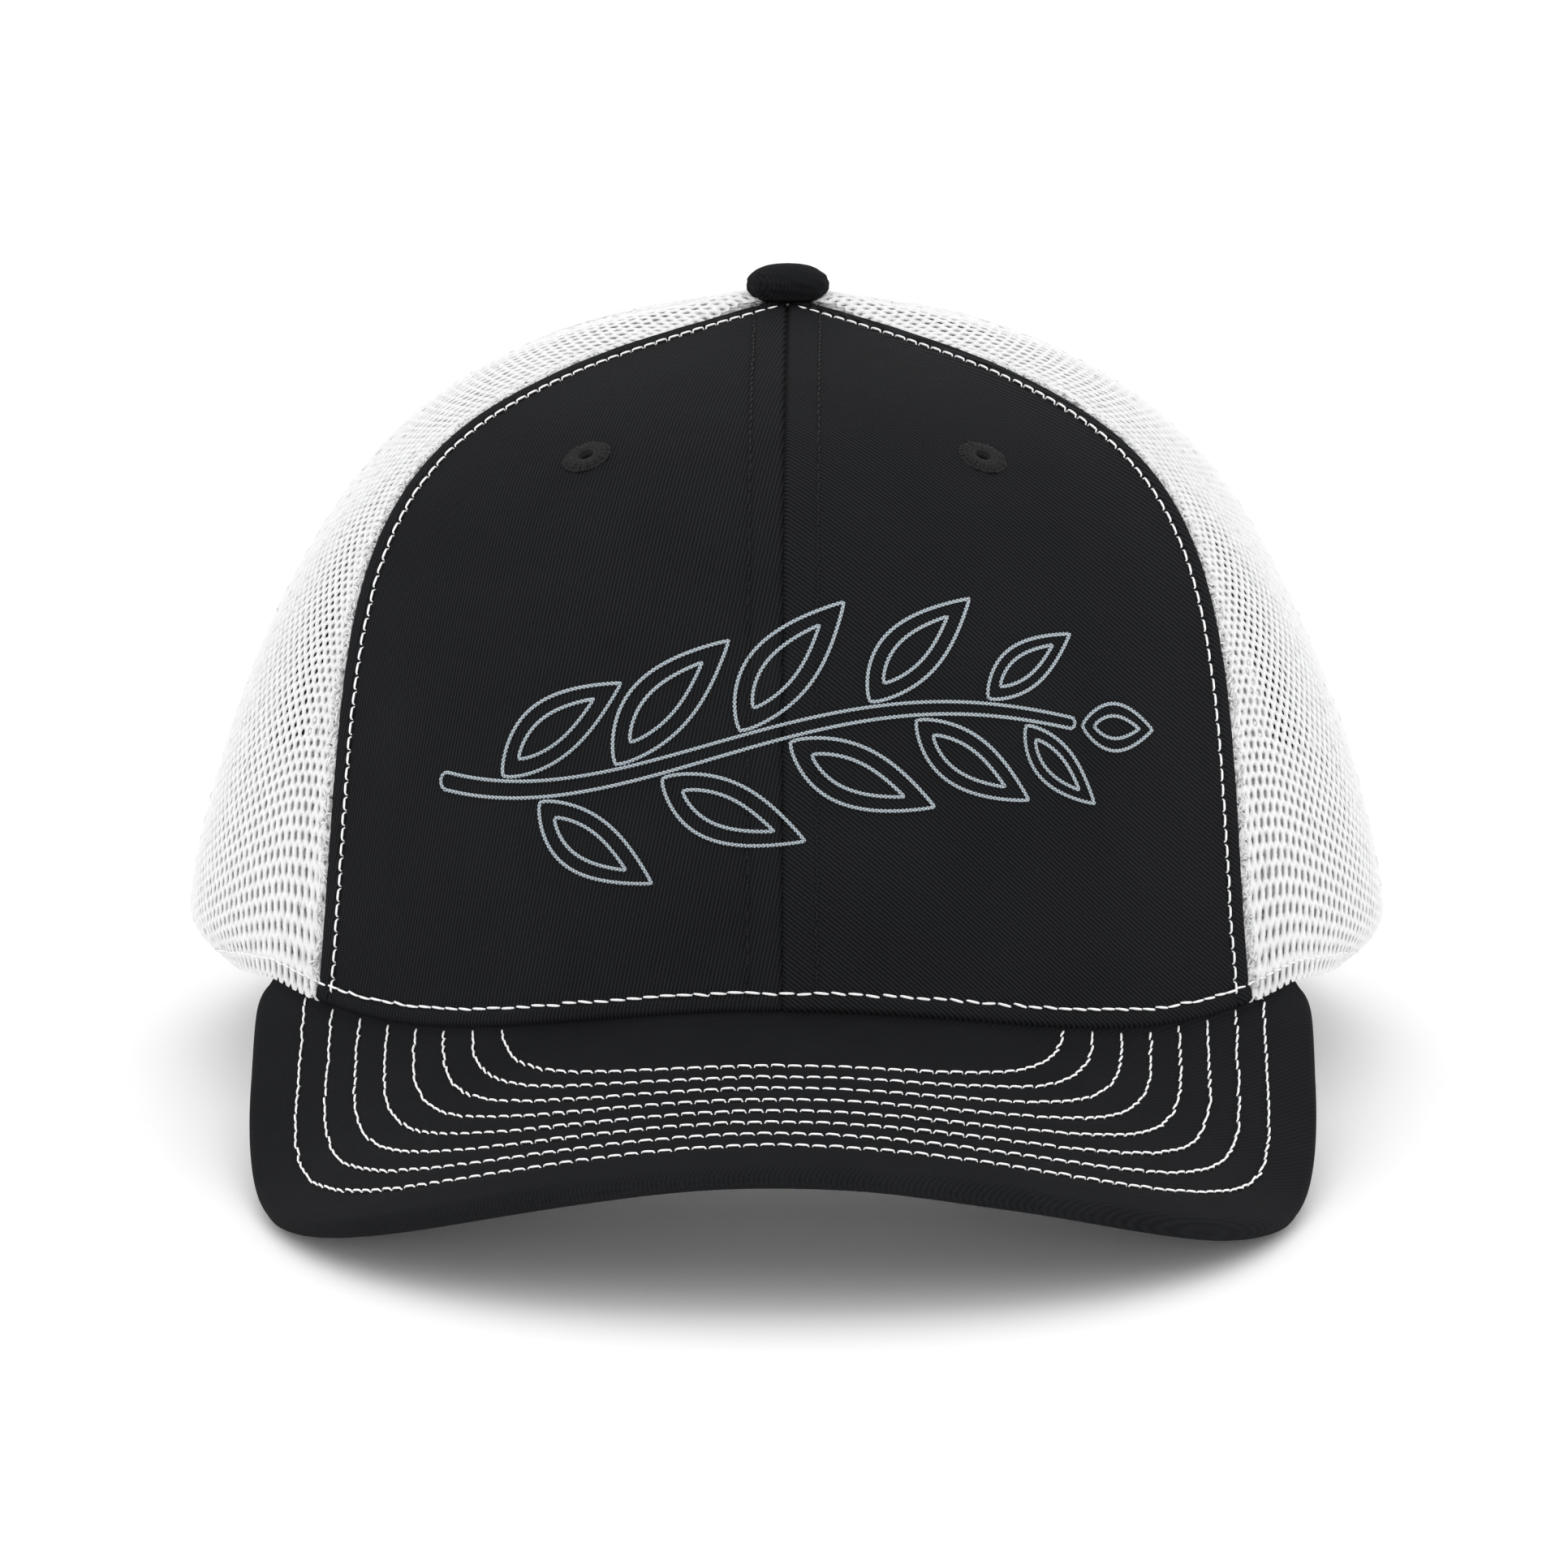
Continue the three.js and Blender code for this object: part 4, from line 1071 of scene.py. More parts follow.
def visor_plan(along, out, inset=0.0):
    """Where a share of the way round and outwards lies in plan, with the edge drawn in by inset."""
    theta = along * VISOR_ENDS
    radius = rim_radius(theta) - VISOR_TUCK
    root_x, root_y = radius * np.sin(theta), radius * np.cos(theta)
    edge_x, edge_y = visor_edge(along)
    reach = np.hypot(edge_x - root_x, edge_y - root_y)
    share = out * (1 - inset / np.maximum(reach, 1))
    return root_x + (edge_x - root_x) * share, root_y + (edge_y - root_y) * share


print("the visor's front edge drops to", visor_surface(np.zeros(1), np.full(1, 162.0))[0].round(1)[0])

# %% [markdown]
# ## Rows round the visor
# Eight rows of stitches go round the visor. They follow its outline more and more loosely towards the crown, and run
# in under it. Scaling one curve eight times would bring the rows together at the sides, so every row has a width and
# a reach of its own, in even steps. The cloth sinks a little under each row.

# %% The rows' plan
ROW_COUNT, ROW_HALF_WIDTH, ROW_HALF_STEP, ROW_REACH, ROW_REACH_STEP = 8, 42.7, 4.48, 120.5, 4.6
ROW_TURN, ROW_POWER = 85.4, 2.32  # where the rows leave their straight sides, and how square their corners are
SIDE_PLACES, FRONT_PLACES = 30, 240


def row_size(k):
    """How far stitch row k lies to the side and ahead."""
    return ROW_HALF_WIDTH + ROW_HALF_STEP * k, ROW_REACH + ROW_REACH_STEP * k


def visor_row(k):
    """The plan of stitch row k: straight beside the crown, then a superellipse across the front."""
    half, reach = row_size(k)
    rim_ahead = FRONT_LENGTH * math.sqrt(1 - (half / HALF_WIDTH) ** 2) - 0.5
    angle = np.linspace(-math.pi / 2, math.pi / 2, FRONT_PLACES)
    power = 2 / ROW_POWER
    x = half * np.sign(angle) * np.abs(np.sin(angle)) ** power
    y = ROW_TURN + (reach - ROW_TURN) * np.abs(np.cos(angle)) ** power
    leg = np.linspace(rim_ahead, ROW_TURN, SIDE_PLACES)[:-1]
    x = np.concatenate([np.full_like(leg, -half), x, np.full_like(leg, half)])
    y = np.concatenate([leg, y, leg[::-1]])
    return np.stack([x, y], -1)


print("the rows reach", [round(row_size(k)[1], 1) for k in range(ROW_COUNT)], "mm ahead")

# %% Upper and lower cloth
VISOR_DROP, VISOR_THICK = 0.75, 3.6  # below the surface that the rim follows
SKIN_ROWS, SKIN_COLUMNS, TURN_ROWS = 150, 380, 12  # the turn rows go round the edge
ripple_visor = Ripple(30, seed=12)


def visor_skin(name, cloth, under):
    """The upper or lower cloth, with grooves under the stitches and a rolled edge that reaches the edge seam."""
    along = np.linspace(-1, 1, SKIN_COLUMNS)[None] * np.ones((SKIN_ROWS, 1))
    flat_rows = SKIN_ROWS - TURN_ROWS
    out = np.concatenate([np.linspace(0, 1, flat_rows) ** 0.9, np.ones(TURN_ROWS)])[:, None] * np.ones_like(along)
    roll = np.concatenate([np.zeros(flat_rows), np.linspace(0, math.pi / 2, TURN_ROWS)])[:, None]
    radius = VISOR_THICK / 2
    x, y = visor_plan(along, out, radius * (1 - np.sin(roll)) * np.ones_like(along))
    swell = 0.1 * ripple_visor(x, y)
    for k in range(ROW_COUNT):
        half, reach = row_size(k)
        ahead_share = np.clip((y - ROW_TURN) / (reach - ROW_TURN), 0, None)
        level = (np.abs(x / half) ** ROW_POWER + ahead_share**ROW_POWER) ** (1 / ROW_POWER)
        away = (level - 1) * np.where(ahead_share > 0, np.minimum(half, reach - ROW_TURN + 18), half)
        swell = swell - 0.16 * bell(away, 0, 0.8)
    if not under:  # the cloth climbs behind the rim, so that no gap shows between them
        outside = np.hypot(x, y) - rim_radius(np.arctan2(x, y))
        swell = swell + 0.85 * smooth((0.6 - outside) / 1.6)
    depth = VISOR_DROP + radius - (radius + swell) * np.cos(roll) * (-1 if under else 1)
    points, _ = visor_surface(x, y, depth)
    edge_dip = 0.25 * bell(roll, math.pi / 2, 0.25)
    points = points - edge_dip[..., None] * unit(points - points.mean((0, 1)))
    piece = grid_piece(name, points, np.stack([x, y], -1), flip=not under)
    return finish_piece(piece, cloth, nodes=("visor_under_cover" if under else "visor_top_cover",))


visor_skin("visor_cloth_top", twill_visor, False)
visor_skin("visor_cloth_under", twill_visor, True)
print("both visor cloths have", (SKIN_ROWS - 1) * (SKIN_COLUMNS - 1), "faces")

# %% Sew the visor
def visor_stitches(name, depth, sign, seed):
    """All the rows on one face of the visor. sign is 1 for the upper face and -1 for the lower one."""
    def face(x, y):
        points, normal = visor_surface(x, y, np.full_like(x, depth))
        return points, normal * sign

    rows = [stitch_row(visor_row(k), face, 2.5, 0.185, 0.03, 0.08, 0.09, seed + k) for k in range(ROW_COUNT)]
    stitch_piece(name, rows, white_thread)


visor_stitches("visor_stitches_top", VISOR_DROP, 1, 100)
visor_stitches("visor_stitches_under", VISOR_DROP + VISOR_THICK, -1, 130)
print(2 * ROW_COUNT, "rows sewn on the visor")

# %% [markdown]
# ## Embroidered sprig
# The front carries a plain leafy sprig in silver-grey thread: a double-lined stem with pairs of leaves, each leaf an
# outline with a smaller one inside it. Curve objects with a bevel could draw it flat, and a Shrinkwrap modifier could
# lay it on the crown. Here the outlines are drawn in millimetres on the flat front and looked up on the dome, so they
# lie on the cloth with no modifier. Every outline is a cord of two threads twisted together, which gives chain stitch
# part of its glint; the rest is painted glint in the thread's colour.

# %% The flat front, laid on the dome
def front_surface(x, y):
    """The front of the crown at a distance round from the centre and a height up the cloth."""
    samples = np.linspace(0, 0.95, 300)
    length = lengths_along(outer_point(np.zeros_like(samples), samples))
    t = np.interp(y, length, samples)
    theta = x / spread(np.zeros_like(t), t)
    return crown(theta, t, 0.12 * drape(x, y))


print("a place on the front:", front_surface(np.zeros(1), np.full(1, 40.0))[0].round(1)[0])

# %% Stem and leaves
STEM_HALF_WIDTH = 1.3
LEAF_PLACES, LEAF_LENGTHS = (-0.78, -0.43, -0.08, 0.27, 0.60), (23.5, 25.0, 25.0, 22.5, 17.5)
LEAF_LEAN, LEAF_BEND, LEAF_SLIMNESS = math.radians(46), 0.16, 0.4


def stem_line(s):
    """The sprig's middle line: s runs from -1 to 1."""
    return np.stack([55.5 * s - 1.5, 41.0 + 5.0 * np.sin(2.7 * s + 0.2) + 1.5 * s], -1)


def stem_heading(s):
    d = stem_line(s + 1e-3) - stem_line(s - 1e-3)
    return math.atan2(d[1], d[0])


def leaf(base, heading, length, width, bend=0.0):
    """A leaf in double outline: a closed outline with a pointed tip and a smaller one inside it."""
    rotate = np.array([[math.cos(heading), math.sin(heading)], [-math.sin(heading), math.cos(heading)]])
    lines = []
    for start, stop, share in ((0.0, 1.0, 1.0), (0.16, 0.80, 0.48)):
        s = np.linspace(0, 1, 40)
        along = start + (stop - start) * s
        half = share * width / 2 * np.sin(math.pi * s**0.85) ** 0.9
        curve = bend * length * along * along
        upper = np.stack([along * length, curve + half], -1)
        lower = np.stack([along * length, curve - half], -1)[::-1]
        lines.append(np.concatenate([upper, lower[1:]]) @ rotate + base)
    return lines


def stem():
    """The stem's closed outline, with round ends."""
    s = np.linspace(-0.97, 0.86, 160)
    middle = stem_line(s)
    direction = unit(np.gradient(middle, axis=0))
    aside = np.stack([-direction[:, 1], direction[:, 0]], -1)
    taper = STEM_HALF_WIDTH * (1 - 0.4 * (s + 1) / 2)[:, None]
    turn = np.linspace(-math.pi / 2, math.pi / 2, 14)[1:-1]
    end = [middle[-1] + taper[-1] * (math.cos(a) * direction[-1] + math.sin(a) * aside[-1]) for a in turn]
    start = [middle[0] - taper[0] * (math.cos(a) * direction[0] + math.sin(a) * aside[0]) for a in turn]
    right, left = middle - taper * aside, middle + taper * aside
    return np.concatenate([right, end, left[::-1], start, right[:1]])


def sprig():
    """Every outline of the sprig: the stem, leaves in pairs, and one leaf at the tip."""
    lines = [stem()]
    for i, (at, length) in enumerate(zip(LEAF_PLACES, LEAF_LENGTHS)):
        for up, shift, share in ((1, 0.0, 1), (-1, 0.12, 0.94)):
            heading = stem_heading(at + shift)
            outward = up * np.array([-math.sin(heading), math.cos(heading)])
            base = stem_line(at + shift) + (2.0 - 0.3 * i / 4) * outward
            size = length * share
            lines += leaf(base, heading + up * LEAF_LEAN, size, LEAF_SLIMNESS * size, -LEAF_BEND * up)
    lines += leaf(stem_line(0.90), stem_heading(0.9) + 0.15, 14.0, 7.0, -0.05)
    return lines


sprig_lines = sprig()
print(len(sprig_lines), "outlines in the sprig")

# %% Cords along the outlines
def cord_of_two(line, turn_length=1.3, apart=0.16, radius=0.155, seed=0):
    """Two threads twisted together along a flat line of the front."""
    params, at = resample(line, front_surface, turn_length / SAMPLES)
    points, normal = front_surface(params[:, 0], params[:, 1])
    aside = np.cross(unit(np.gradient(points, axis=0)), normal)
    draw = np.random.default_rng(seed)
    phase = at / turn_length * 2 * math.pi + np.cumsum(draw.normal(0, 0.06, len(at)))
    paths = []
    for strand in (0, math.pi):
        swing, rise = np.cos(phase + strand), np.sin(phase + strand)
        paths.append(points + apart * swing[:, None] * aside + (0.2 + 0.75 * apart * rise)[:, None] * normal)
    return [(p, normal, np.full(len(at), radius)) for p in paths]


cords = [strand for i, line in enumerate(sprig_lines) for strand in cord_of_two(line, seed=i)]
stitch_piece("sprig_embroidery", cords, silver_thread_painted_glint, sides=5)
print(len(cords), "embroidered threads")

# %% [markdown]
# ## Seam tapes
# Inside the crown, every seam is covered by a black tape with a row of white stitches along each edge. None of it
# shows from the front, but it does through the rear arch and when the cap is turned over. A tape is a narrow grid
# centred on its seam at a depth under the outer face, swollen a little between its two rows.

# %% One tape
TAPE_HALF_WIDTH, TAPE_ROW = 6.0, 4.9  # the rows' distance from the seam
FRONT_TAPE_DEPTH, MESH_TAPE_DEPTH = 2.3, 1.45


def tape(name, side, seam, low, depth, node):
    """Makes a tape over a seam and returns the rows of stitches along its edges."""
    t = np.linspace(low, SEAM_TOP, 90)[:, None]
    half = np.minimum(TAPE_HALF_WIDTH / spread(seam(t), t), math.radians(27))
    across = np.linspace(-1, 1, 13)[None]
    theta = seam(t) + across * half
    swell = 0.18 * (1 - across**2) + 0.1 * drape(across * 6, t * 130) - 0.12 * (np.abs(across) > 0.9)
    points, _ = crown(side * theta, np.broadcast_to(t, theta.shape), -depth - 0.3 - swell)
    piece = grid_piece(name, points, pairs(across * TAPE_HALF_WIDTH, t * 130), flip=side > 0)
    finish_piece(piece, tape_cloth, nodes=(node,))

    def inside(theta, t):
        points, normal = crown(theta, t, np.full_like(t, -depth - 0.45))
        return points, -normal

    line = np.linspace(low, 0.95, 200)
    reach = np.minimum(TAPE_ROW / spread(seam(line), line), math.radians(20))
    edges = [(np.stack([side * (seam(line) + d * reach), line], -1), 150 + 7 * d) for d in (-1, 1)]
    return [stitch_row(edge, inside, 2.6, 0.17, 0.1, seed=seed) for edge, seed in edges]


print("a tape is", 2 * TAPE_HALF_WIDTH, "mm wide")

# %% All six tapes
tape_rows = tape("tape_front", 1, centre_seam, 0.05, FRONT_TAPE_DEPTH, "seam_tape_front")
for name, side in (("left", -1), ("right", 1)):
    tape_rows += tape("tape_front_" + name, side, front_seam, 0.05, FRONT_TAPE_DEPTH, "seam_tape_front_" + name)
    tape_rows += tape("tape_rear_" + name, side, rear_seam, 0.05, MESH_TAPE_DEPTH, "seam_tape_rear_" + name)
tape_rows += tape("tape_back", 1, back_seam, ARCH_TOP_SHARE, MESH_TAPE_DEPTH, "seam_tape_back")
stitch_piece("tape_stitches", tape_rows, white_thread, sides=5)
print(len(tape_rows), "rows of stitches on the tapes")

# %% [markdown]
# ## Sweatband and label
# The sweatband is a soft padded band inside the rim, sewn along its lower edge and rolled over at the top. A curve
# with a bevel profile could sweep it round, but its outer face has to lie against panels of different thickness. So it
# is a closed section that is carried round the inside, and its outer face is moved out where only mesh lies behind
# it. It is the one padded piece. The label is a plain woven tab sewn to the band.

# %% The wall inside the crown
def share_at_height(theta, z):
    """The share of the way up at which the crown reaches a height, found by halving."""
    low, high = np.zeros_like(theta), np.full_like(theta, 0.9)
    for _ in range(30):
        middle = (low + high) / 2
        under = outer_point(theta, middle)[..., 2] < z
        low, high = np.where(under, middle, low), np.where(under, high, middle)
    return low


def band_surface(theta, z, depth):
    """A point inside the crown at a height and at a level depth from its outer face."""
    wall = spread(theta, share_at_height(theta, np.maximum(z, rim_height(theta))))
    return at_angle(wall - depth, theta, z)


print("30 mm up, the back is at share", round(float(share_at_height(np.array(math.pi), 30)), 3))

# %% The padded band
BAND_DEPTH, BAND_LOW = 3.8, 0.4
MESH_BACK = 0.82  # depth of the back of the mesh, measured on the level


def sweatband():
    """A padded band: flat against the crown, swelling inwards between its sewn rim and its rolled top."""
    reach = math.pi - math.asin((ARCH_HALF_WIDTH + 2) / BACK_LENGTH)
    around, theta = np.meshgrid(np.linspace(0, 2 * math.pi, 56), np.linspace(-reach, reach, 420), indexing="ij")
    half = BAND_HEIGHT / 2
    upright = np.sign(np.sin(around)) * np.abs(np.sin(around)) ** 0.45
    across = np.sign(np.cos(around)) * np.abs(np.cos(around)) ** 0.6
    z = BAND_LOW + half + half * upright
    thick = 1.15 + 0.35 * (1 - np.abs(upright)) + 0.1 * drape(theta * 95, z)
    inward = 0.5 * (across + 1) * thick * 1.5
    seam = 0.25 * bell(upright, 0.8, 0.05) * (across > 0)
    filled = (BAND_DEPTH - MESH_BACK) * smooth((np.abs(theta) - FRONT_SEAM - 0.06) / 0.06)
    points = band_surface(theta, z, BAND_DEPTH - filled * 0.5 * (1 - across) + inward - seam)
    piece = grid_piece("padded_sweatband", points, np.stack([theta * HALF_WIDTH, z + 6 * across], -1), flip=True)
    return finish_piece(piece, band_cloth, nodes=("sweatband",))


band = sweatband()
print("the band has", len(band.data.polygons), "faces")

# %% The blank label
LABEL_DEPTH = BAND_DEPTH + 2.35


def label():
    z, theta = np.meshgrid(np.linspace(5, 24, 40), np.radians(np.linspace(-140, -126, 30)), indexing="ij")
    curl = 0.25 * np.sin(theta * 40) + 0.5 * np.clip((10 - z) / 5, 0, 1) ** 2
    points = band_surface(theta, z, LABEL_DEPTH + curl)
    piece = grid_piece("care_label_cloth", points, np.stack([theta * HALF_WIDTH, z], -1), flip=True)
    return finish_piece(piece, label_cloth, nodes=("care_label",))


label()
print("label done")

# %% [markdown]
# ## Rear arch
# The edge of the rear arch is bound: a strip of cloth is folded over the cut knit and sewn through. The strip's
# section is drawn once, as a line that goes over the edge from the outer face to the inner one, and every point of it
# is carried along the arch. The arch is drawn flat, as seen from behind, so each point is first looked up on the back
# of the crown.

# %% From a view of the back to the dome
def on_back_wall(x, z):
    """The angle and share of the point of the crown that is seen from behind at x and z."""
    theta = math.pi - np.arcsin(x / BACK_LENGTH)
    for _ in range(8):
        t = share_at_height(theta, z)
        theta = math.pi - np.arcsin(np.clip(x / spread(theta, t), -1, 1))
    return theta, t


_, top_share = on_back_wall(np.zeros(1), np.full(1, ARCH_SIDE + ARCH_RISE))
print("the arch's top is at share", round(float(top_share[0]), 3))

# %% The binding and its two rows
BINDING_SECTION = [(7.0, -0.1), (6.9, 0.35), (5.6, 0.5), (3.5, 0.42), (1.6, 0.52), (0.4, 0.45), (-0.15, 0.0),
                   (-0.25, -0.5), (-0.1, -1.0), (0.5, -1.4), (2.0, -1.45), (4.5, -1.42), (6.6, -1.42),
                   (7.0, -1.1)]  # distances outside the arch, and lifts from the crown's outer face
BINDING_ROWS = (1.6, 5.6)

along = np.linspace(-1, 1, 160)
section = finer(BINDING_SECTION, 45)
lines = []
for outside, lift in section:
    theta, t = on_back_wall(*arch_outline(along, outside))
    lines.append(crown(theta, t, np.full_like(t, lift) + 0.05 * pucker(along * 70, outside))[0])
binding = grid_piece("arch_binding_cloth", np.stack(lines), pairs(along[None] * 70, lengths_along(section)[:, None]))
finish_piece(binding, band_cloth, nodes=("arch_binding",))
rows = []
for k, outside in enumerate(BINDING_ROWS):
    theta, t = on_back_wall(*arch_outline(np.linspace(-0.99, 0.99, 300), outside))
    rows.append(stitch_row(np.stack([theta, t], -1), crown, 2.4, 0.2, 0.5, seed=170 + k))
stitch_piece("arch_stitches", rows, white_thread, sides=5)
print("the binding has", len(binding.data.polygons), "faces")

# %% [markdown]
# ## Snap straps
# Two moulded strips close the arch: one has holes and the other has pegs that snap into them. Booleans could cut the
# holes, but they leave faces that a bevel can't follow. So each strip starts as a flat sheet that already has a ring
# of faces round every hole. Two modifiers give it thickness and soft edges, and only then is it wrapped round
# the back of the crown. A strap is one piece with its sewn-in end and bends along a short stretch where it leaves it.

# %% Along the back of the crown
STRAP_RIM = BACK_LENGTH * (1 - BACK_TUCK)
STRAP_HINGE, STRAP_REACH, STRAP_ROOT = 38.0, 60.0, 12.0  # from the back's middle, and from the hinge both ways
STRAP_LOW, STRAP_HEIGHT, STRAP_THICKNESS = 1.2, 19.0, 1.3
STRAP_HALF = STRAP_HEIGHT / 2
STRAP_MIDDLE = STRAP_LOW + STRAP_HALF


def strap_place(arc, z, depth):
    """A point at a distance round from the middle of the back, at a height and a depth."""
    return at_angle(STRAP_RIM - depth, math.pi - arc / STRAP_RIM, z)


print("the straps are", round(2 * STRAP_REACH - 2 * STRAP_HINGE, 1), "mm longer together than the way to close")

# %% One cell of a strap
SNAP_FIRST, SNAP_PITCH, SNAP_COUNT = 6.0, 8.0, 7
SNAP_RADIUS, SNAP_STEPS = 2.6, 24
SNAP_CELL = SNAP_PITCH / 2


def snap_cell(x, holed):
    """The flat faces round one snap: a ring round a hole, or a fan, out to the edges and corners of its cell."""
    ring, edge, faces = [], [], []
    for angle in np.linspace(0, 2 * math.pi, SNAP_STEPS, endpoint=False):
        c, s = math.cos(angle), math.sin(angle)
        reach = min(SNAP_CELL / max(abs(c), 1e-9), STRAP_HALF / max(abs(s), 1e-9))
        ring.append((x + SNAP_RADIUS * c, SNAP_RADIUS * s))
        edge.append((x + reach * c, reach * s))
    for k in range(SNAP_STEPS):
        n = (k + 1) % SNAP_STEPS
        (ax, ay), (bx, by) = edge[k], edge[n]
        faces.append([ring[k], edge[k], edge[n], ring[n]] if holed else [(x, 0.0), edge[k], edge[n]])
        if min(abs(ax - bx), abs(ay - by)) > 1e-6:  # a corner of the cell lies between the two
            corner = (x + math.copysign(SNAP_CELL, ax + bx - 2 * x), math.copysign(STRAP_HALF, ay + by))
            faces.append([edge[k], corner, edge[n]])
    return faces


print("a cell with a hole has", len(snap_cell(0, True)), "faces")

# %% The flat sheet
TIP_NARROWING, TIP_ROUNDNESS = 0.55, 3.5


def levels_at(faces, x):
    """The heights at which faces have corners on the line at x, from the lower edge to the upper one."""
    return sorted({round(y, 6) for face in faces for px, y in face if abs(px - x) < 1e-6})


def strap_sheet(name, holed):
    """A strap laid flat: its sewn end, a cell round every snap, and a rounded tip."""
    snaps = [SNAP_FIRST + k * SNAP_PITCH for k in range(SNAP_COUNT)]
    faces = [face for x in snaps for face in snap_cell(x, holed)]
    first, last = snaps[0] - SNAP_CELL, snaps[-1] + SNAP_CELL
    end = [(x, 1.0) for x in (-STRAP_ROOT, -STRAP_ROOT / 2, 0.0, first)]
    tip = [(last + (STRAP_REACH - last) * s, 1 - TIP_NARROWING * s**TIP_ROUNDNESS) for s in np.linspace(0, 1, 7)]
    for stations, x in ((end, first), (tip, last)):
        levels = levels_at(faces, x)
        for (a, at_a), (b, at_b) in zip(stations[:-1], stations[1:]):
            for lo, hi in zip(levels[:-1], levels[1:]):
                faces.append([(a, lo * at_a), (b, lo * at_b), (b, hi * at_b), (a, hi * at_a)])
    work, corners = bmesh.new(), {}
    for face in faces:
        keys = [(round(float(x), 3), round(float(y), 3)) for x, y in face]
        for key in keys:
            if key not in corners:
                corners[key] = work.verts.new((*key, 0))
        work.faces.new([corners[key] for key in keys])
    bmesh.ops.recalc_face_normals(work, faces=work.faces)
    if sum(f.normal.z for f in work.faces) < 0:
        bmesh.ops.reverse_faces(work, faces=work.faces)
    mesh = bpy.data.meshes.new(name)
    work.to_mesh(mesh)
    work.free()
    return add_object(name, mesh)


print("the tip is", round(STRAP_REACH - SNAP_FIRST - SNAP_PITCH * (SNAP_COUNT - 0.5), 1), "mm long")

# %% Thickness, soft edges and the bend round the crown
ROOT_DEPTH = 2.6  # of the sewn end, behind the mesh


def strap(name, side, depth, holed):
    """A strap from its sewn end to its tip. side is -1 for the one that starts on the left."""
    obj = strap_sheet(name, holed)
    solidify = obj.modifiers.new("thick", "SOLIDIFY")
    solidify.thickness, solidify.offset = STRAP_THICKNESS, 0
    bevel = obj.modifiers.new("soft", "BEVEL")
    bevel.width, bevel.segments, bevel.limit_method, bevel.angle_limit = 0.28, 3, "ANGLE", math.radians(50)
    final = bpy.data.meshes.new_from_object(obj.evaluated_get(bpy.context.evaluated_depsgraph_get()))
    obj.modifiers.clear()
    obj.data = final
    flat = np.array([v.co for v in final.vertices])
    root, free = ROOT_DEPTH + STRAP_THICKNESS / 2, depth + STRAP_THICKNESS / 2
    middle = root + (free - root) * smooth((flat[:, 0] + 2.5) / 4)  # the strap steps in or out past its sewn end
    placed = strap_place(side * (STRAP_HINGE - flat[:, 0]), STRAP_MIDDLE + flat[:, 1], middle - flat[:, 2])
    final.vertices.foreach_set("co", to_row(placed).astype(np.float32).ravel())
    final.update()
    final.polygons.foreach_set("use_smooth", np.ones(len(final.polygons), bool))
    return obj


print("a strap is", STRAP_ROOT + STRAP_REACH, "mm long with its sewn end")

# %% Pegs
PEG_PROFILE = [(1.6, 0.0), (1.5, 0.5), (1.45, 1.3), (1.62, 1.75), (1.66, 2.0), (1.5, 2.25), (1.1, 2.42), (0.5, 2.5),
               (0.01, 2.52)]  # radius, height: the head is a little wider than the stem


def pegs(side, depth):
    """A row of pegs with rounded heads, standing out from a depth."""
    shapes = []
    for k in range(SNAP_COUNT):
        arc = side * (STRAP_HINGE - SNAP_FIRST - k * SNAP_PITCH)
        at = strap_place(np.array(arc), np.array(STRAP_MIDDLE), np.array(depth + 0.1))
        shapes.append(turned(PEG_PROFILE, at, unit(at * (1, 1, 0)), 24))
    rows, columns = shapes[0].shape[:2]
    points = np.concatenate([s.reshape(-1, 3) for s in shapes])
    faces = np.concatenate([grid_faces(rows, columns, start=k * rows * columns) for k in range(SNAP_COUNT)])
    return mesh_piece("strap_pegs", points, faces)


def joined(main, other):
    """Two objects made into one."""
    bpy.ops.object.select_all(action="DESELECT")
    other.select_set(True)
    main.select_set(True)
    bpy.context.view_layer.objects.active = main
    bpy.ops.object.join()
    return main


print(SNAP_COUNT, "pegs of", len(PEG_PROFILE), "rings")

# %% Both straps
OUTER_DEPTH, INNER_DEPTH = 1.0, 2.6  # the strap with holes lies outside the one with pegs
BEND_HALF = 1.2  # half the length of a stretch round each strap's hinge

holes_strap = finish_piece(strap("strap_with_holes", -1, OUTER_DEPTH, True), snap_plastic, body=None,
                           nodes=("hole_strap", "hole_strap_root"))
pegs_strap = joined(strap("strap_with_pegs", 1, INNER_DEPTH, False), pegs(1, INNER_DEPTH))
pegs_strap = finish_piece(pegs_strap, snap_plastic, body=None, nodes=("peg_strap", "peg_strap_root"))
for piece, side, body in ((holes_strap, -1, "hole_strap_body"), (pegs_strap, 1, "peg_strap_body")):
    middle_z, depth = np.array(STRAP_MIDDLE), np.array(2.4)
    ends = [to_row(strap_place(np.array(side * (STRAP_HINGE + d)), middle_z, depth)) for d in (BEND_HALF, -BEND_HALF)]
    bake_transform(piece)
print("straps done")

# %% [markdown]
# ## Board, shell and washer
# The visor board, the button's shell and the washer are wholly hidden, and their CAD shapes are good enough as they
# are. They are kept, and only get looks of their own, so that whoever takes the cap apart finds plastic and steel.

# %% Paint three CAD pieces
for name, look in (("visor_board", board_plastic), ("button_shell", button_steel), ("button_washer", button_steel)):
    node = frame["nodes"][name]
    node.data.materials.clear()
    node.data.materials.append(look)
print("3 CAD pieces painted")

# %% [markdown]
# ## Setting and light
# A white cap on a white ground shows only by its shading, so the light has to be broad and soft. A large floor has no
# end in view, the world lights from all round, and two area lights, one above and one low in front, keep the black
# panels readable. The floor and the lights are staging and don't belong to the part.

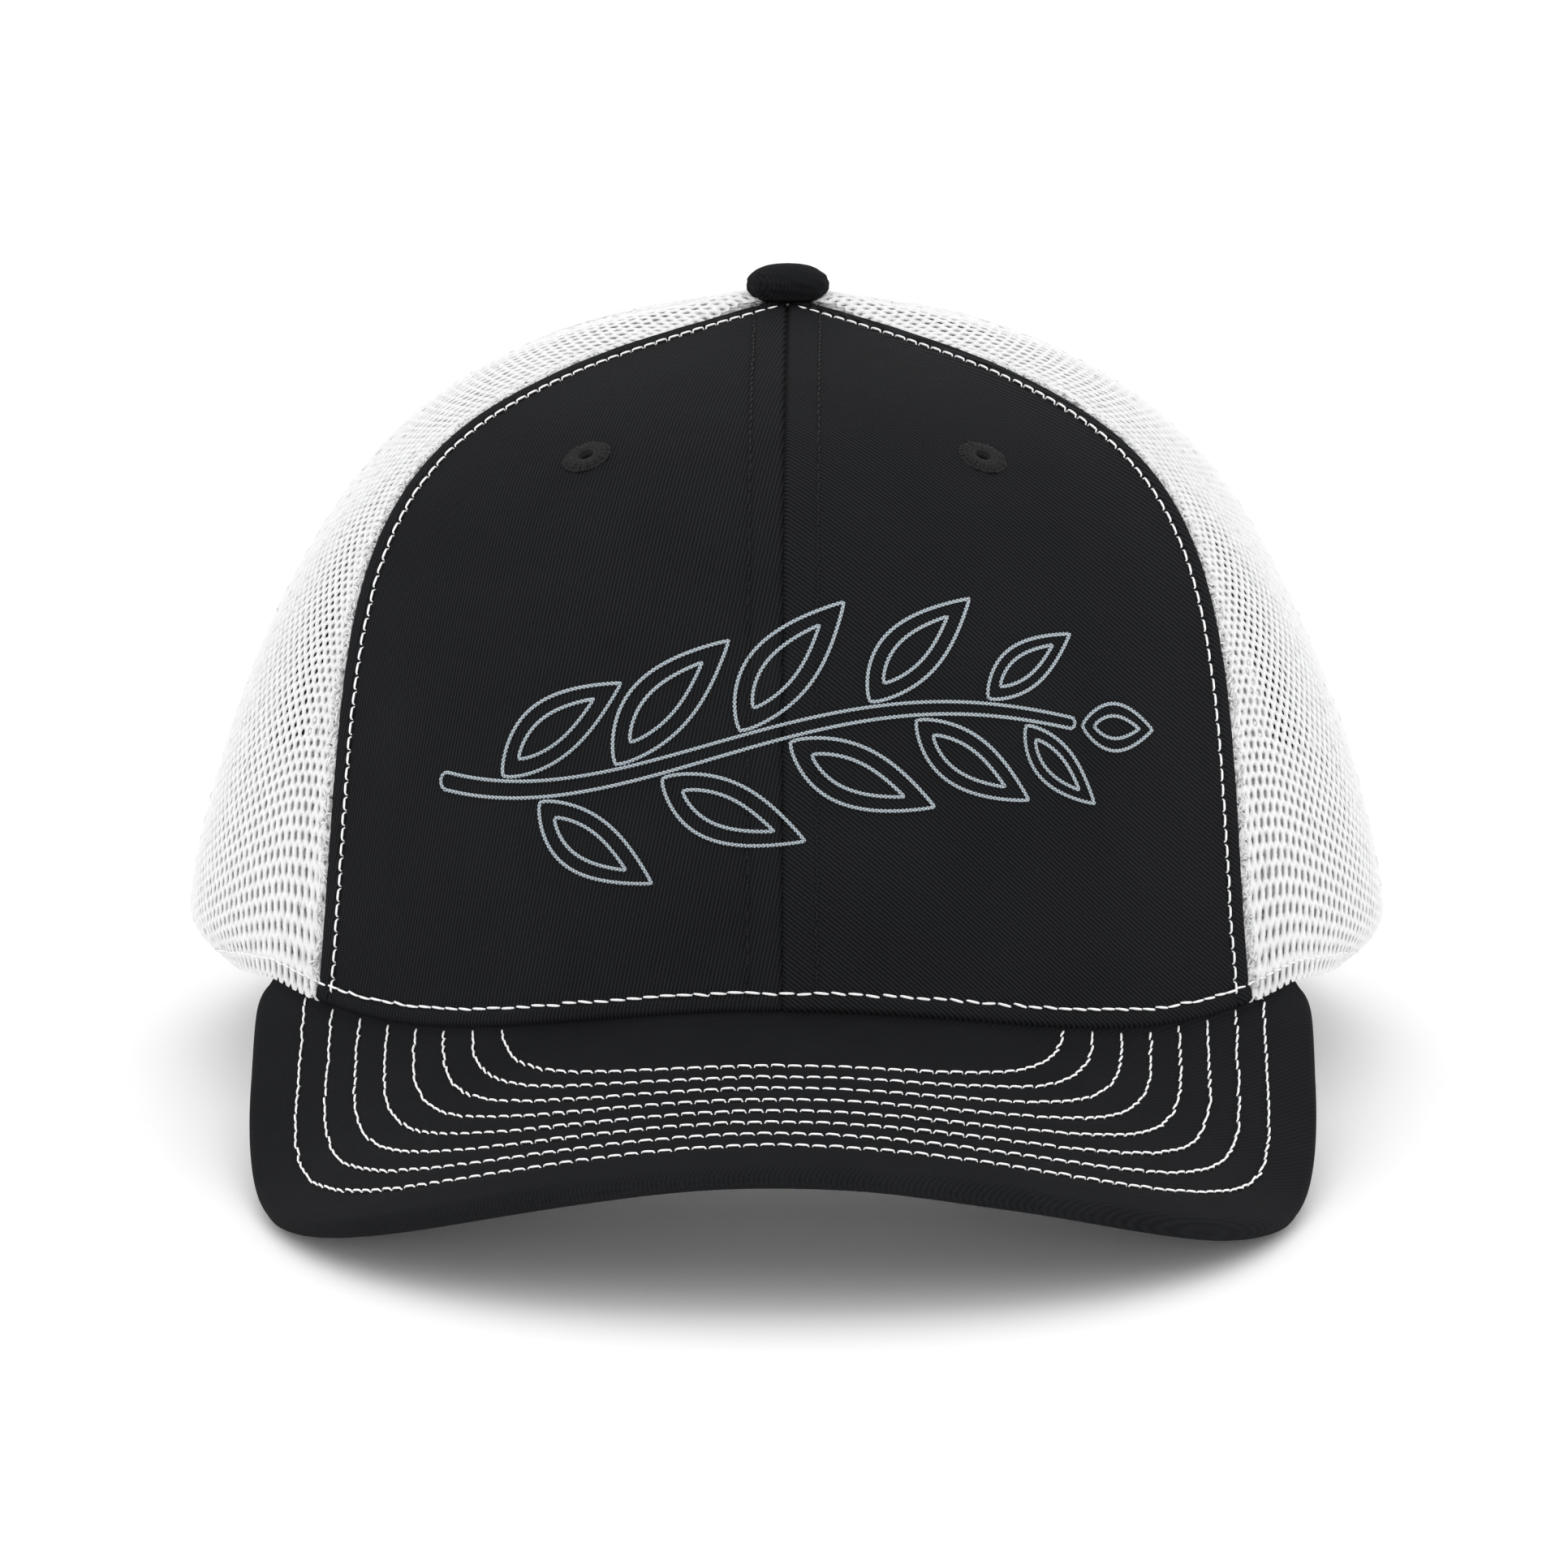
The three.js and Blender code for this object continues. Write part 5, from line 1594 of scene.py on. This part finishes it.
# %% Floor
def plane(name, size, at):
    mesh = bpy.data.meshes.new(name)
    s = size / 2
    mesh.from_pydata([(-s, -s, 0), (s, -s, 0), (s, s, 0), (-s, s, 0)], [], [(0, 1, 2, 3)])
    obj = add_object(name, mesh)
    obj.location = at
    return obj


floor = plane("floor", 40, (0, 0, 0))
floor_look = bpy.data.materials.new("floor_white")
floor_look.use_nodes = True
floor_shader = floor_look.node_tree.nodes["Principled BSDF"]
floor_shader.inputs["Base Color"].default_value = (1, 1, 1, 1)
floor_shader.inputs["Roughness"].default_value = 0.9
floor_shader.inputs["Specular IOR Level"].default_value = 0.1
floor.data.materials.append(floor_look)
print("floor laid")

# %% Lights
def area_light(name, at, aim, size, power):
    data = bpy.data.lights.new(name, "AREA")
    data.shape, data.size, data.size_y, data.energy = "RECTANGLE", *size, power
    obj = add_object(name, data)
    obj.location = at
    obj.rotation_euler = (Vector(aim) - Vector(at)).to_track_quat("-Z", "Y").to_euler()
    return obj


area_light("overhead", (0, 0.1, 1.5), (0, 0, 0), (1.4, 1.4), 3)
area_light("front_low", (0, -1.5, 0.3), (0, 0, 0.03), (1.6, 0.5), 5)
world = bpy.context.scene.world or bpy.data.worlds.new("world")
bpy.context.scene.world = world
world.use_nodes = True
background = world.node_tree.nodes["Background"]
background.inputs["Color"].default_value = (1, 1, 1, 1)
background.inputs["Strength"].default_value = 1.02
bpy.context.scene.view_settings.view_transform = "Standard"
print("lights set")

# %% [markdown]
# ## Camera
# A long lens a good way off keeps the visor from looming, as it would through a short one. The camera stands almost
# straight ahead of the crown and a little above its rim, and looks at a point inside the cap.

# %% Place the camera
DISTANCE, LENS, SENSOR = 1600, 229.5, 36
ELEVATION, YAW = math.radians(3.99), math.radians(-0.44)
AIM = np.array([-0.48, 0, 27.5])

level = math.cos(ELEVATION)
heading = np.array([math.sin(YAW) * level, math.cos(YAW) * level, -math.sin(ELEVATION)])
eye = to_row(AIM - DISTANCE * heading)
camera_data = bpy.data.cameras.new("camera")
camera_data.lens, camera_data.sensor_width = LENS, SENSOR
camera_data.clip_start, camera_data.clip_end = 0.05, 100
camera = add_object("camera", camera_data)
camera.location = eye
camera.rotation_euler = (Vector(to_row(AIM)) - Vector(eye)).to_track_quat("-Z", "Y").to_euler()
bpy.context.scene.camera = camera
print("camera at", [round(float(c), 3) for c in eye])
